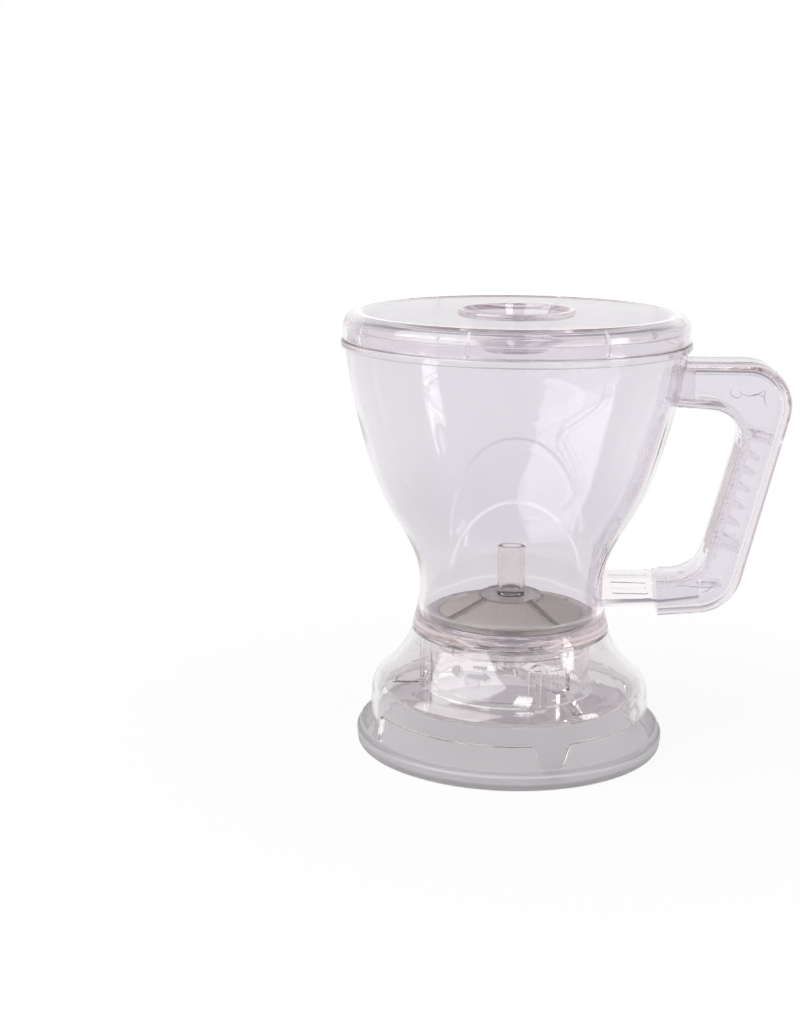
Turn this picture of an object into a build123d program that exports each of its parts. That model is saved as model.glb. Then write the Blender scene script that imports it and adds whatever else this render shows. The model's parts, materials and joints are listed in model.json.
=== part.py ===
"""Steep-and-release tea maker: a clear jug with a valve in its floor, on a bell base and a coaster.

Millimetres, +Z up. The origin is the centre of the coaster's flat underside, the jug's axis is Z,
and the handle points along +X. The front faces -Y, and angles named "turn" are degrees from the
front towards +X.
"""
from build123d import *
import os
from math import asin, cos, degrees, hypot, radians, sin

os.makedirs("parts", exist_ok=True)

# ------------------------------------------------------------------ clearances
seat_gap = 0.2          # a loose piece above the face it rests on
running_gap = 0.3       # radial room between pieces that turn or slide past each other
weld_gap = 0.15         # the weld line between the handle and the bowl
snug_gap = 0.05         # a pressed-in or bonded piece and its pocket
lug_room = 0.4          # round the bayonet lugs in their slots

# ------------------------------------------------------------------ coaster
coaster_height = 7.4
coaster_floor = 1.8
coaster_shelf_height = 5.6  # outer wall, up to the shelf outside the raised ring
coaster_shelf = 1.1         # width of that shelf
coaster_ring = 1.2          # width of the raised ring's top
coaster_foot_room = 1.0     # floor between the feet and the foot of the ring's slope
coaster_slope = 1.8         # how far that slope runs outwards
coaster_edge = 1.6          # radius of the lower outer edge
coaster_draft = 0.5         # how much narrower the underside is than the wall
coaster_shelf_edge = 0.7
coaster_ring_edge = 0.5

# ------------------------------------------------------------------ bell base
bell_radius = 51.0      # outside of the wall where the shoulder starts
bell_draft = 0.5        # how much further out the feet stand
shoulder_height = 20.0
shoulder_radius = 8.3
shoulder_turn = 52.0    # degrees the shoulder bends inwards
flare_radius = 35.0
bell_wall = 2.2
bell_deck = 2.0         # thickness of the deck round the sleeve
foot_count = 4
foot_turn = 18.0
foot_top_width = 13.6
foot_bottom_width = 5.0
window_top = 14.2       # height of the windows between the feet
window_corner = 3.0
foot_corner = 1.0

# ------------------------------------------------------------------ sleeve and bayonet in the base
sleeve_wall = 2.0
sleeve_room = 0.7       # between the push plate and the sleeve's lower end
lug_count = 4
lug_turn = 75.0         # where the lugs lie when the base is locked
lug_width = 6.0
lug_height = 2.5
lug_reach = 1.5         # how far a lug stands out of the spigot
twist_angle = 22.0      # degrees from locked to free

# ------------------------------------------------------------------ push plate in the base
plate_bottom = 19.5
plate_thickness = 1.8
plate_sleeve_room = 2.2 # between the sleeve and the plate's inner edge
plate_bell_room = 3.5   # between the plate's outer edge and the bell's wall
plate_lift = 4.0        # how far a mug pushes the plate up
arm_count = 3
arm_turn = 35.0
arm_width = 3.0
arm_height = 3.0
arm_window_width = 8.0
arm_window_headroom = 1.4
arm_foot_inset = 2.3    # from the plate's outer edge to the foot of an arm's sloping back
hub_radius = 5.0
hub_socket_depth = 1.8
finger_turn = 18.0
finger_width = 6.5
finger_slot = 2.3
finger_thickness = 2.0
finger_drop = 4.0       # how far a finger reaches below the plate
finger_room = 0.4       # left under the bell's deck when the plate is up

# ------------------------------------------------------------------ vessel
bell_joint_height = 44.5    # top of the bell and underside of the vessel meet here
bell_rim_radius = 36.1      # outside of the vessel where it meets the bell
bowl_radius = 61.0          # outside of the bowl at its rim
waist_radius = 33.5         # outside of the bowl at its narrowest
vessel_stations = [         # outside radius of the bowl and height above the joint, upwards
    (waist_radius, 13.5),
    (35.1, 25.5),
    (45.8, 45.8),
    (54.0, 68.0),
    (59.2, 90.5),
    (bowl_radius, 102.7),
]
vessel_wall = 2.4
rim_wall = 3.3          # the bowl's wall thickens to this at the rim
floor_rise = 2.5        # top of the floor above the joint
floor_corner = 1.5
flange_reach = 1.4      # how far the flange stands out of the rim
flange_thickness = 2.6
flange_edge = 0.6
collar_height = 4.2     # the collar that the lid fits over
collar_wall = 1.5
sump_radius = 13.0
sump_depth = 3.2
sump_floor = 2.0
drain_radius = 6.5
spout_radius = 10.0
spout_bore_radius = 7.6
spout_length = 5.8
spigot_radius = 27.0
spigot_wall = 2.0
spigot_length = 7.0
ring_rib_width = 1.0    # low ring on the floor that centres the filter
ring_rib_height = 0.9
arch_places = [         # turn, top above the joint, sideways shift of the shallow panels
    (0.0, 56.5, 1.4),
    (180.0, 59.5, -1.4),
]
arch_half_width = 26.0
arch_spring = 31.5      # where the arch is widest, above the joint
arch_foot_half_width = 16.0
arch_depth = 0.8
arch_fade = (5.5, 27.5)     # the panel runs out downwards between these, above the joint

# ------------------------------------------------------------------ lid
lid_inset = 0.5         # how far the lid's skirt stands back from the flange
lid_draft = 0.6         # how much narrower the lid is at its top
lid_height = 9.6        # from the skirt's lower edge to the top
lid_wall = 1.5
lid_deck = 2.0
lid_edge = 2.6
lid_rib_count = 8
lid_rib_turn = -15.0
lid_rib_width = 1.0
recess_radius = 20.5
recess_floor_radius = 10.4
recess_depth = 12.5
recess_wall = 1.8
recess_lip = 0.7        # raised ring round the recess
recess_lip_width = 2.0

# ------------------------------------------------------------------ filter
filter_room = 1.1       # between the filter and the bowl's waist
filter_ring_width = 4.0
filter_ring_height = 2.8
filter_hub_radius = 11.7
filter_hub_rise = 9.0   # top of the hub above the bowl's floor
filter_hub_thickness = 1.6
filter_rib_count = 4
filter_rib_turn = 37.0
filter_rib_width = 2.2
filter_rib_height = 0.9
mesh_thickness = 0.4
mesh_grip = 0.8         # how far the mesh reaches into the ring and the hub
mesh_sink = 0.6         # depth of the mesh's upper face below the ring's and the hub's top
post_radius = 5.05
post_height = 18.4
post_bore_radius = 3.6
post_bore_depth = 16.0
post_pin_radius = 3.0
post_edge = 0.5

# ------------------------------------------------------------------ valve
stopper_radius = 9.0
stopper_thickness = 2.5
stopper_plug_radius = 5.6
stopper_plug_length = 3.0
stem_radius = 1.9
stem_head_radius = 3.4
stem_head_height = 1.2
stem_flange_radius = 4.0
stem_flange_height = 1.0
guide_length = 3.0
guide_wall = 1.2
guide_boss_radius = 4.0
guide_spoke_width = 1.4
guide_spokes = 3

# ------------------------------------------------------------------ handle
# Its places are (distance outwards from the bowl's rim radius, height above the joint), and its
# first corners lie inside the bowl, whose shape cuts both arms.
handle_width = 22.0
handle_outer_path = [(-16.0, 98.9), (40.8, 98.9), (19.0, 8.4), (-7.7, 6.1)]
handle_outer_radii = [15.7, 17.0]
handle_inner_path = [(-16.0, 83.2), (22.4, 81.7), (6.6, 20.6), (-9.0, 19.8)]
handle_inner_radii = [11.5, 13.0]
cover_wall = 3.2        # along the outside of the loop
cover_side = 2.0
cover_edge = 1.5        # radius along its corners
root_block = 2.2        # end of the frame's end block at the bowl
frame_strip = 3.2       # thickness of the frame's strip on the finger side
stub_width = 12.0
stub_root = 5.5         # where the stub's outline starts, in from the waist's outside
stub_bottom = 8.1
stub_top = 19.1
tongue_end = 7.0
tongue_top = 17.4
tongue_rise = 2.2       # the tongue's underside rises with the cover's floor
tongue_lead = 5.0
web_length = 8.2
stub_slot = (-17.8, 14.4)       # centre of the shallow slot in each side of the stub
stub_slot_length = 13.2
stub_slot_width = 1.8
stub_slot_depth = 1.2
rib_length = 7.2
rib_thickness = 0.9
rib_root = 2.0          # how deep a rib starts inside the strip
rib_heights = [74.9, 72.7, 35.7, 33.5]
small_rib_length = 4.6
small_rib_heights = [66.5, 61.0, 55.0, 48.5, 42.5]
strip_heights = (31.0, 68.5)    # lower and upper end of the grip strip
strip_width = 13.0
strip_thickness = 1.5
strip_tab_width = 5.0
strip_tab_length = 2.5

# ------------------------------------------------------------------ marks
mark_thickness = 0.25
dot_turn = -28.4
dot_drop = 7.9          # below the joint, as the two below
dot_radius = 1.5
bar_turn = -15.4
bar_drop = 6.1
bar_length = 5.0
bar_width = 0.7
arrow_turn = -15.4
arrow_drop = 8.9
arrow_length = 8.6
arrow_shaft = 0.9
arrow_head = 2.6


def direction(turn):
    """Unit vector in the XY plane at this turn from the front."""
    return Vector(sin(radians(turn)), -cos(radians(turn)), 0)


def radial_plane(turn, distance=0.0):
    """Upright plane facing outwards at this turn: local x runs to the right, local y runs up."""
    outward = direction(turn)
    return Plane(origin=outward * distance, x_dir=(-outward.Y, outward.X, 0), z_dir=outward)


def above_joint(points):
    """Radii with heights above the joint, as radii with heights above the coaster's underside."""
    return [(radius, bell_joint_height + rise) for radius, rise in points]


def beyond_rim(points):
    """Places given from the bowl's rim radius and the joint, as radii and heights."""
    return above_joint([(bowl_radius + reach, rise) for reach, rise in points])


def section_plane(turn):
    """Upright plane through the axis: local x is the radius at this turn, local y is the height."""
    outward = direction(turn)
    return Plane(origin=(0, 0, 0), x_dir=outward, z_dir=outward.cross(Vector(0, 0, 1)))


def turns(count, first):
    """Turns of count equal places, starting at first."""
    return [first + 360.0 * place / count for place in range(count)]


def moved_path(corners, radii, shift):
    """Corners and fillet radii of a clockwise path moved to its left by shift."""
    lines = []
    for start, end in zip(corners, corners[1:]):
        run = hypot(end[0] - start[0], end[1] - start[1])
        across = ((start[1] - end[1]) / run * shift, (end[0] - start[0]) / run * shift)
        moved_start = (start[0] + across[0], start[1] + across[1])
        moved_end = (end[0] + across[0], end[1] + across[1])
        lines.append((moved_start, moved_end))
    moved = [lines[0][0]]
    for first, second in zip(lines, lines[1:]):
        moved.append(crossing(first, second))
    moved.append(lines[-1][1])
    return moved, [radius + shift for radius in radii]


def crossing(first, second):
    """Point where two lines, each given by two points, cross."""
    (ax, ay), (bx, by) = first
    (cx, cy), (dx, dy) = second
    turn = (bx - ax) * (dy - cy) - (by - ay) * (dx - cx)
    share = ((cx - ax) * (dy - cy) - (cy - ay) * (dx - cx)) / turn
    return ax + share * (bx - ax), ay + share * (by - ay)


def angle_of(width, radius):
    """Degrees that a width takes up on a circle."""
    return 2 * degrees(asin(width / 2 / radius))


def cut_sector(first_turn, angle, radii, heights):
    """Cut a stretch of ring that starts at this turn out of the part being built."""
    with BuildSketch(section_plane(first_turn)) as sector:
        with Locations((radii[0], heights[0])):
            Rectangle(radii[1] - radii[0], heights[1] - heights[0], align=(Align.MIN, Align.MIN))
    revolve(sector.sketch, axis=Axis.Z, revolution_arc=angle, mode=Mode.SUBTRACT)


def finish(piece, name):
    """Label a piece and write its STEP file."""
    piece.part.label = name
    export_step(piece.part, f"parts/{name}.step")


# ------------------------------------------------------------------ coaster
foot_radius = bell_radius + bell_draft
coaster_slope_foot = foot_radius + coaster_foot_room
ring_inner = coaster_slope_foot + coaster_slope
ring_outer = ring_inner + coaster_ring
coaster_radius = ring_outer + coaster_shelf

with BuildPart() as coaster:
    with BuildSketch(Plane.XZ) as coaster_section:
        with BuildLine():
            Polyline(
                (0, 0),
                (coaster_radius - coaster_draft, 0),
                (coaster_radius, coaster_shelf_height),
                (ring_outer, coaster_shelf_height),
                (ring_outer, coaster_height),
                (ring_inner, coaster_height),
                (coaster_slope_foot, coaster_floor),
                (0, coaster_floor),
                close=True,
            )
        make_face()
        lower_corner = coaster_section.vertices().group_by(Axis.Y)[0].sort_by(Axis.X)[-1]
        fillet(lower_corner, coaster_edge)
        shelf_corner = coaster_section.vertices().sort_by(Axis.X)[-1]
        fillet(shelf_corner, coaster_shelf_edge)
        ring_corners = coaster_section.vertices().group_by(Axis.Y)[-1]
        fillet(ring_corners, coaster_ring_edge)
    revolve(axis=Axis.Z)
finish(coaster, "coaster")

# ------------------------------------------------------------------ base skirt
foot_bottom = coaster_floor + seat_gap
deck_top = bell_joint_height - seat_gap
sleeve_inner = spigot_radius + running_gap
sleeve_outer = sleeve_inner + sleeve_wall

spigot_bottom = bell_joint_height - spigot_length
lug_bottom = spigot_bottom + lug_room
lug_radius = spigot_radius + lug_reach
lug_slot_radius = lug_radius + lug_room
lug_slot_angle = angle_of(lug_width + 2 * lug_room, spigot_radius)

plate_top = plate_bottom + plate_thickness
sleeve_bottom = plate_top + sleeve_room
arm_bottom = plate_top + plate_lift
arm_top = arm_bottom + arm_height
arm_slot_angle = angle_of(arm_width + 2 * lug_room, sleeve_inner)
arm_window_angle = angle_of(arm_window_width, sleeve_inner)
arm_window_floor = arm_bottom - seat_gap
arm_window_ceiling = arm_top + plate_lift + arm_window_headroom

shoulder_end_height = shoulder_height + shoulder_radius * sin(radians(shoulder_turn))
flare_rise = flare_radius * sin(radians(shoulder_turn)) + shoulder_end_height - deck_top
flare_turn = shoulder_turn - degrees(asin(flare_rise / flare_radius))


def bell_profile(inset):
    """Edges of the bell's outline from its feet to its deck, moved inwards by inset."""
    wall = Line((foot_radius - inset, foot_bottom), (bell_radius - inset, shoulder_height))
    shoulder = JernArc(
        start=wall @ 1, tangent=(0, 1), radius=shoulder_radius - inset, arc_size=shoulder_turn
    )
    flare = JernArc(
        start=shoulder @ 1, tangent=shoulder % 1, radius=flare_radius + inset, arc_size=-flare_turn
    )
    return wall, shoulder, flare


def bell_band(inner_inset, outer_inset):
    """Close the bell's outline between two insets into a section."""
    outer_wall, _, outer_flare = bell_profile(outer_inset)
    inner_wall, _, inner_flare = bell_profile(inner_inset)
    Line(outer_wall @ 0, inner_wall @ 0)
    Line(outer_flare @ 1, inner_flare @ 1)
    return outer_flare @ 1


with BuildPart(mode=Mode.PRIVATE) as windows:
    with BuildSketch(Plane.XY.offset(foot_bottom - coaster_floor)):
        Circle(foot_radius + bell_wall)
    extrude(amount=window_top - foot_bottom + coaster_floor)
    for turn in turns(foot_count, foot_turn):
        with BuildSketch(radial_plane(turn)) as foot_outline:
            with BuildLine():
                Polyline(
                    (-foot_top_width / 2 - 2 * window_corner, window_top + foot_corner),
                    (-foot_top_width / 2 - 2 * window_corner, window_top),
                    (-foot_top_width / 2, window_top),
                    (-foot_bottom_width / 2, foot_bottom),
                    (foot_bottom_width / 2, foot_bottom),
                    (foot_top_width / 2, window_top),
                    (foot_top_width / 2 + 2 * window_corner, window_top),
                    (foot_top_width / 2 + 2 * window_corner, window_top + foot_corner),
                    close=True,
                )
            make_face()
            middle_corners = foot_outline.vertices().group_by(Axis.Y)[1]
            fillet(middle_corners.sort_by(lambda corner: abs(corner.X))[:2], window_corner)
            fillet(foot_outline.vertices().group_by(Axis.Y)[0], foot_corner)
        extrude(amount=foot_radius + bell_wall, mode=Mode.SUBTRACT)

with BuildPart() as base_skirt:
    with BuildSketch(Plane.XZ):
        with BuildLine():
            bell_corner = bell_band(bell_wall, 0)
        make_face()
    revolve(axis=Axis.Z)
    with BuildSketch(Plane.XY.offset(deck_top - bell_deck)):
        Circle(bell_corner.X)
        Circle(sleeve_inner, mode=Mode.SUBTRACT)
    extrude(amount=bell_deck)
    with BuildSketch(Plane.XY.offset(sleeve_bottom)):
        Circle(sleeve_outer)
        Circle(sleeve_inner, mode=Mode.SUBTRACT)
    extrude(amount=deck_top - sleeve_bottom)
    add(windows.part, mode=Mode.SUBTRACT)
    for turn in turns(lug_count, lug_turn):
        free_turn = turn - twist_angle
        cut_sector(
            free_turn - lug_slot_angle / 2,
            twist_angle + lug_slot_angle,
            (sleeve_inner - running_gap, lug_slot_radius),
            (lug_bottom - lug_room, lug_bottom + lug_height + lug_room),
        )
        cut_sector(
            free_turn - lug_slot_angle / 2,
            lug_slot_angle,
            (sleeve_inner - running_gap, lug_slot_radius),
            (lug_bottom - lug_room, deck_top + seat_gap),
        )
    for turn in turns(arm_count, arm_turn):
        first_turn = turn - arm_slot_angle / 2
        cut_sector(
            first_turn,
            arm_window_angle,
            (sleeve_inner - running_gap, sleeve_outer + running_gap),
            (arm_window_floor, arm_window_ceiling),
        )
        cut_sector(
            first_turn + arm_window_angle - arm_slot_angle,
            arm_slot_angle,
            (sleeve_inner - running_gap, sleeve_outer + running_gap),
            (sleeve_bottom - running_gap, arm_window_floor),
        )
finish(base_skirt, "base_skirt")

# ------------------------------------------------------------------ marks on the bell
mark_reach = bell_radius + bell_wall
dot_height = bell_joint_height - dot_drop
bar_height = bell_joint_height - bar_drop
arrow_height = bell_joint_height - arrow_drop

with BuildPart(mode=Mode.PRIVATE) as mark_prisms:
    with BuildSketch(radial_plane(dot_turn)):
        with Locations((0, dot_height)):
            Circle(dot_radius)
    extrude(amount=mark_reach)
    with BuildSketch(radial_plane(bar_turn)):
        with Locations((0, bar_height)):
            Rectangle(bar_length, bar_width)
    extrude(amount=mark_reach)
    with BuildSketch(radial_plane(arrow_turn)):
        with BuildLine():
            Polyline(
                (-arrow_length / 2, arrow_height - arrow_shaft / 2),
                (arrow_length / 2 - arrow_head, arrow_height - arrow_shaft / 2),
                (arrow_length / 2 - arrow_head, arrow_height - arrow_head / 2),
                (arrow_length / 2, arrow_height),
                (arrow_length / 2 - arrow_head, arrow_height + arrow_head / 2),
                (arrow_length / 2 - arrow_head, arrow_height + arrow_shaft / 2),
                (-arrow_length / 2, arrow_height + arrow_shaft / 2),
                close=True,
            )
        make_face()
    extrude(amount=mark_reach)

with BuildPart() as twist_marks:
    with BuildSketch(Plane.XZ):
        with BuildLine():
            bell_band(-snug_gap, -snug_gap - mark_thickness)
        make_face()
    revolve(axis=Axis.Z)
    add(mark_prisms.part, mode=Mode.INTERSECT)
finish(twist_marks, "twist_marks")

# ------------------------------------------------------------------ push plate
hub_socket_radius = stem_radius + running_gap
plate_inner_radius = sleeve_outer + plate_sleeve_room
plate_outer_radius = bell_radius - bell_wall - plate_bell_room
arm_foot_radius = plate_outer_radius - arm_foot_inset
finger_bottom = plate_bottom - finger_drop
finger_top = deck_top - bell_deck - plate_lift - finger_room

with BuildPart() as push_plate:
    with BuildSketch(Plane.XY.offset(plate_bottom)):
        Circle(plate_outer_radius)
        Circle(plate_inner_radius, mode=Mode.SUBTRACT)
    extrude(amount=plate_thickness)
    for turn in turns(arm_count, arm_turn):
        with BuildSketch(section_plane(turn)):
            with BuildLine():
                Polyline(
                    (0, arm_bottom),
                    (plate_inner_radius, arm_bottom),
                    (plate_inner_radius, plate_bottom),
                    (arm_foot_radius, plate_top),
                    (plate_inner_radius + arm_height, arm_top),
                    (0, arm_top),
                    close=True,
                )
            make_face()
        extrude(amount=arm_width / 2, both=True)
    with BuildSketch(Plane.XY.offset(arm_bottom)):
        Circle(hub_radius)
    extrude(amount=arm_height)
    with BuildSketch(Plane.XY.offset(arm_top - hub_socket_depth)):
        Circle(hub_socket_radius)
    extrude(amount=hub_socket_depth, mode=Mode.SUBTRACT)
    for turn in turns(arm_count, finger_turn):
        with BuildSketch(radial_plane(turn, plate_inner_radius)) as finger_outline:
            with Locations((0, finger_bottom)):
                Rectangle(
                    finger_width, finger_top - finger_bottom, align=(Align.CENTER, Align.MIN)
                )
            fillet(finger_outline.vertices().group_by(Axis.Y)[-1], finger_width / 2 - snug_gap)
            with Locations((0, plate_top)):
                Rectangle(
                    finger_slot,
                    finger_top - plate_top - finger_slot,
                    align=(Align.CENTER, Align.MIN),
                    mode=Mode.SUBTRACT,
                )
        extrude(amount=finger_thickness)
finish(push_plate, "push_plate")

# ------------------------------------------------------------------ vessel
floor_height = bell_joint_height + floor_rise
sump_height = floor_height - sump_depth
sump_underside = sump_height - sump_floor
spout_bottom = sump_underside - spout_length
outer_points = above_joint([(bell_rim_radius, 0)] + vessel_stations)
inner_points = [(radius - vessel_wall, height) for radius, height in outer_points[:-1]]
flange_bottom = outer_points[-1][1]
flange_top = flange_bottom + flange_thickness
flange_radius = bowl_radius + flange_reach
collar_top = flange_top + collar_height
collar_inner = bowl_radius - rim_wall
collar_outer = collar_inner + collar_wall
filter_radius = waist_radius - vessel_wall - filter_room
inner_points.append((collar_inner, flange_bottom))

with BuildPart(mode=Mode.PRIVATE) as cavity:
    with BuildSketch(Plane.XZ) as cavity_section:
        with BuildLine():
            Spline(*inner_points)
            Polyline(
                inner_points[-1],
                (collar_inner, collar_top),
                (0, collar_top),
                (0, bell_joint_height),
                inner_points[0],
            )
        make_face()
        with Locations((0, floor_height)):
            Rectangle(
                2 * bell_rim_radius,
                2 * (floor_height - bell_joint_height),
                align=(Align.CENTER, Align.MAX),
                mode=Mode.SUBTRACT,
            )
        corner = cavity_section.vertices().group_by(Axis.Y)[0].sort_by(Axis.X)[-1]
        fillet(corner, floor_corner)
    revolve(axis=Axis.Z)


def panel_radius(radius, height):
    """Radius of the arch panels' surface where the bowl has this radius."""
    rise = height - bell_joint_height
    share = (rise - arch_fade[0]) / (arch_fade[1] - arch_fade[0])
    return radius - arch_depth * min(share, 1.0)


with BuildPart(mode=Mode.PRIVATE) as arch_prisms:
    for turn, arch_rise, arch_shift in arch_places:
        arch_left, arch_top, arch_right, arch_foot_right, arch_foot_left = above_joint(
            [
                (arch_shift - arch_half_width, arch_spring),
                (arch_shift, arch_rise),
                (arch_shift + arch_half_width, arch_spring),
                (arch_shift + arch_foot_half_width, 0),
                (arch_shift - arch_foot_half_width, 0),
            ]
        )
        with BuildSketch(radial_plane(turn)):
            with BuildLine():
                ThreePointArc(arch_left, arch_top, arch_right)
                Polyline(arch_right, arch_foot_right, arch_foot_left, arch_left)
            make_face()
        extrude(amount=flange_radius)

with BuildPart(mode=Mode.PRIVATE) as arch_panels:
    with BuildSketch(Plane.XZ):
        with BuildLine():
            Spline(*[(panel_radius(radius, height), height) for radius, height in outer_points])
            Polyline(
                (panel_radius(*outer_points[-1]), flange_bottom),
                (flange_radius, flange_bottom),
                (flange_radius, bell_joint_height),
                (panel_radius(*outer_points[0]), bell_joint_height),
            )
        make_face()
    revolve(axis=Axis.Z)
    add(arch_prisms.part, mode=Mode.INTERSECT)

with BuildPart() as vessel:
    with BuildSketch(Plane.XZ) as vessel_section:
        with BuildLine():
            Spline(*outer_points)
            Polyline(
                outer_points[-1],
                (flange_radius, flange_bottom),
                (flange_radius, flange_top),
                (collar_outer, flange_top),
                (collar_outer, collar_top),
                (0, collar_top),
                (0, bell_joint_height),
                outer_points[0],
            )
        make_face()
        flange_corners = vessel_section.vertices().group_by(Axis.X)[-1]
        fillet(flange_corners, flange_edge)
    revolve(axis=Axis.Z)
    add(cavity.part, mode=Mode.SUBTRACT)
    add(arch_panels.part, mode=Mode.SUBTRACT)
    with BuildSketch(Plane.XY.offset(sump_underside)):
        Circle(sump_radius + sump_floor)
    extrude(amount=bell_joint_height - sump_underside)
    with BuildSketch(Plane.XY.offset(sump_height)):
        Circle(sump_radius)
    extrude(amount=sump_depth, mode=Mode.SUBTRACT)
    with BuildSketch(Plane.XY.offset(spout_bottom)):
        Circle(spout_radius)
        Circle(spout_bore_radius, mode=Mode.SUBTRACT)
    extrude(amount=spout_length)
    with BuildSketch(Plane.XY.offset(sump_underside)):
        Circle(drain_radius)
    extrude(amount=sump_floor, mode=Mode.SUBTRACT)
    with BuildSketch(Plane.XY.offset(spigot_bottom)):
        Circle(spigot_radius)
        Circle(spigot_radius - spigot_wall, mode=Mode.SUBTRACT)
    extrude(amount=bell_joint_height - spigot_bottom)
    with BuildSketch(Plane.XY.offset(floor_height)):
        Circle(filter_radius + running_gap + ring_rib_width)
        Circle(filter_radius + running_gap, mode=Mode.SUBTRACT)
    extrude(amount=ring_rib_height)
    for turn in turns(lug_count, lug_turn):
        lug_angle = angle_of(lug_width, spigot_radius)
        with BuildSketch(section_plane(turn - lug_angle / 2)):
            with Locations((spigot_radius - spigot_wall / 2, lug_bottom)):
                Rectangle(
                    lug_reach + spigot_wall / 2, lug_height, align=(Align.MIN, Align.MIN)
                )
        revolve(axis=Axis.Z, revolution_arc=lug_angle)
finish(vessel, "vessel")

# ------------------------------------------------------------------ handle
handle_outer_corners = beyond_rim(handle_outer_path)
handle_inner_corners = beyond_rim(handle_inner_path)
handle_start = handle_outer_corners[0][0]
stub_start = waist_radius - stub_root
stub_low, stub_high = above_joint([(stub_start, stub_bottom), (stub_start, stub_top)])
tongue_tip, slot_centre = beyond_rim([(tongue_end, tongue_top), stub_slot])
step_line = (handle_inner_corners[-1], handle_outer_corners[-1])
start_line = ((handle_start, 0), (handle_start, 1))
beyond_line = ((stub_start, 0), (stub_start, 1))
frame_half_width = handle_width / 2 - cover_side - seat_gap
grip_upper, grip_lower = handle_inner_corners[1], handle_inner_corners[2]
grip_run = hypot(grip_upper[0] - grip_lower[0], grip_upper[1] - grip_lower[1])
grip_lean = degrees(asin((grip_upper[0] - grip_lower[0]) / grip_run))
grip_along = (sin(radians(grip_lean)), cos(radians(grip_lean)))
grip_across = (grip_along[1], -grip_along[0])


def ended_at(corners, first_line, last_line):
    """The same path with its first and last run carried on to these lines."""
    start = crossing((corners[0], corners[1]), first_line)
    end = crossing((corners[-1], corners[-2]), last_line)
    return [start] + corners[1:-1] + [end]


def loop_face(outer_corners, outer_radii, inner_corners, inner_radii):
    """Outline between two filleted paths, closed at both ends."""
    outside = FilletPolyline(*outer_corners, radius=outer_radii)
    inside = FilletPolyline(*inner_corners, radius=inner_radii)
    Line(outside @ 0, inside @ 0)
    Line(outside @ 1, inside @ 1)


def on_grip(rise, depth):
    """Point at this height above the joint on the grip, depth beyond its finger side."""
    height = bell_joint_height + rise
    run = (height - grip_lower[1]) / grip_along[1]
    return (
        grip_lower[0] + run * grip_along[0] + depth * grip_across[0],
        height + depth * grip_across[1],
    )


def across_outline(edge):
    """Whether an edge closes the handle's outline inside the bowl or at the step."""
    start, end = edge @ 0, edge @ 1
    return max(start.X, end.X) < handle_outer_corners[-1][0] + snug_gap


with BuildPart(mode=Mode.PRIVATE) as bowl_envelope:
    with BuildSketch(Plane.XZ):
        with BuildLine():
            Spline(*[(radius + weld_gap, height) for radius, height in outer_points])
            Polyline(
                (outer_points[-1][0] + weld_gap, flange_bottom),
                (0, flange_bottom),
                (0, bell_joint_height),
                (outer_points[0][0] + weld_gap, bell_joint_height),
            )
        make_face()
    revolve(axis=Axis.Z)

cavity_outer, cavity_outer_radii = moved_path(
    handle_outer_corners, handle_outer_radii, -cover_wall
)
cavity_inner, cavity_inner_radii = moved_path(
    handle_inner_corners, handle_inner_radii, -cover_wall
)

with BuildPart() as handle_cover:
    with BuildSketch(Plane.XZ):
        with BuildLine():
            loop_face(
                handle_outer_corners, handle_outer_radii, handle_inner_corners, handle_inner_radii
            )
        make_face()
    extrude(amount=handle_width / 2, both=True)
    side_faces = handle_cover.faces().sort_by(Axis.Y)
    side_edges = side_faces[0].edges() + side_faces[-1].edges()
    fillet(side_edges.filter_by(across_outline, reverse=True), cover_edge)
    with BuildSketch(Plane.XZ):
        with BuildLine():
            loop_face(
                ended_at(cavity_outer, beyond_line, beyond_line), cavity_outer_radii,
                ended_at(cavity_inner, beyond_line, beyond_line), cavity_inner_radii,
            )
        make_face()
    extrude(amount=handle_width / 2 - cover_side, both=True, mode=Mode.SUBTRACT)
    add(bowl_envelope.part, mode=Mode.SUBTRACT)
finish(handle_cover, "handle_cover")

strip_middle = (strip_heights[0] + strip_heights[1]) / 2
strip_length = (strip_heights[1] - strip_heights[0]) / grip_along[1]
grip_face = on_grip(strip_middle, 0)
grip_plane = Plane(
    origin=(grip_face[0], 0, grip_face[1]),
    x_dir=(0, 1, 0),
    z_dir=(grip_across[0], 0, grip_across[1]),
)


def strip_outline(room):
    """Outline of the grip strip with its end tabs, larger by room all round."""
    Rectangle(strip_width + 2 * room, strip_length + 2 * room)
    Rectangle(strip_tab_width + 2 * room, strip_length + 2 * (strip_tab_length + room))


frame_outer, _ = moved_path(handle_outer_corners, handle_outer_radii, -cover_wall - seat_gap)
frame_outer = ended_at(frame_outer, start_line, step_line)
strip_back, strip_back_radii = moved_path(handle_inner_corners, handle_inner_radii, frame_strip)
strip_back = ended_at(strip_back, start_line, step_line)

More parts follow.
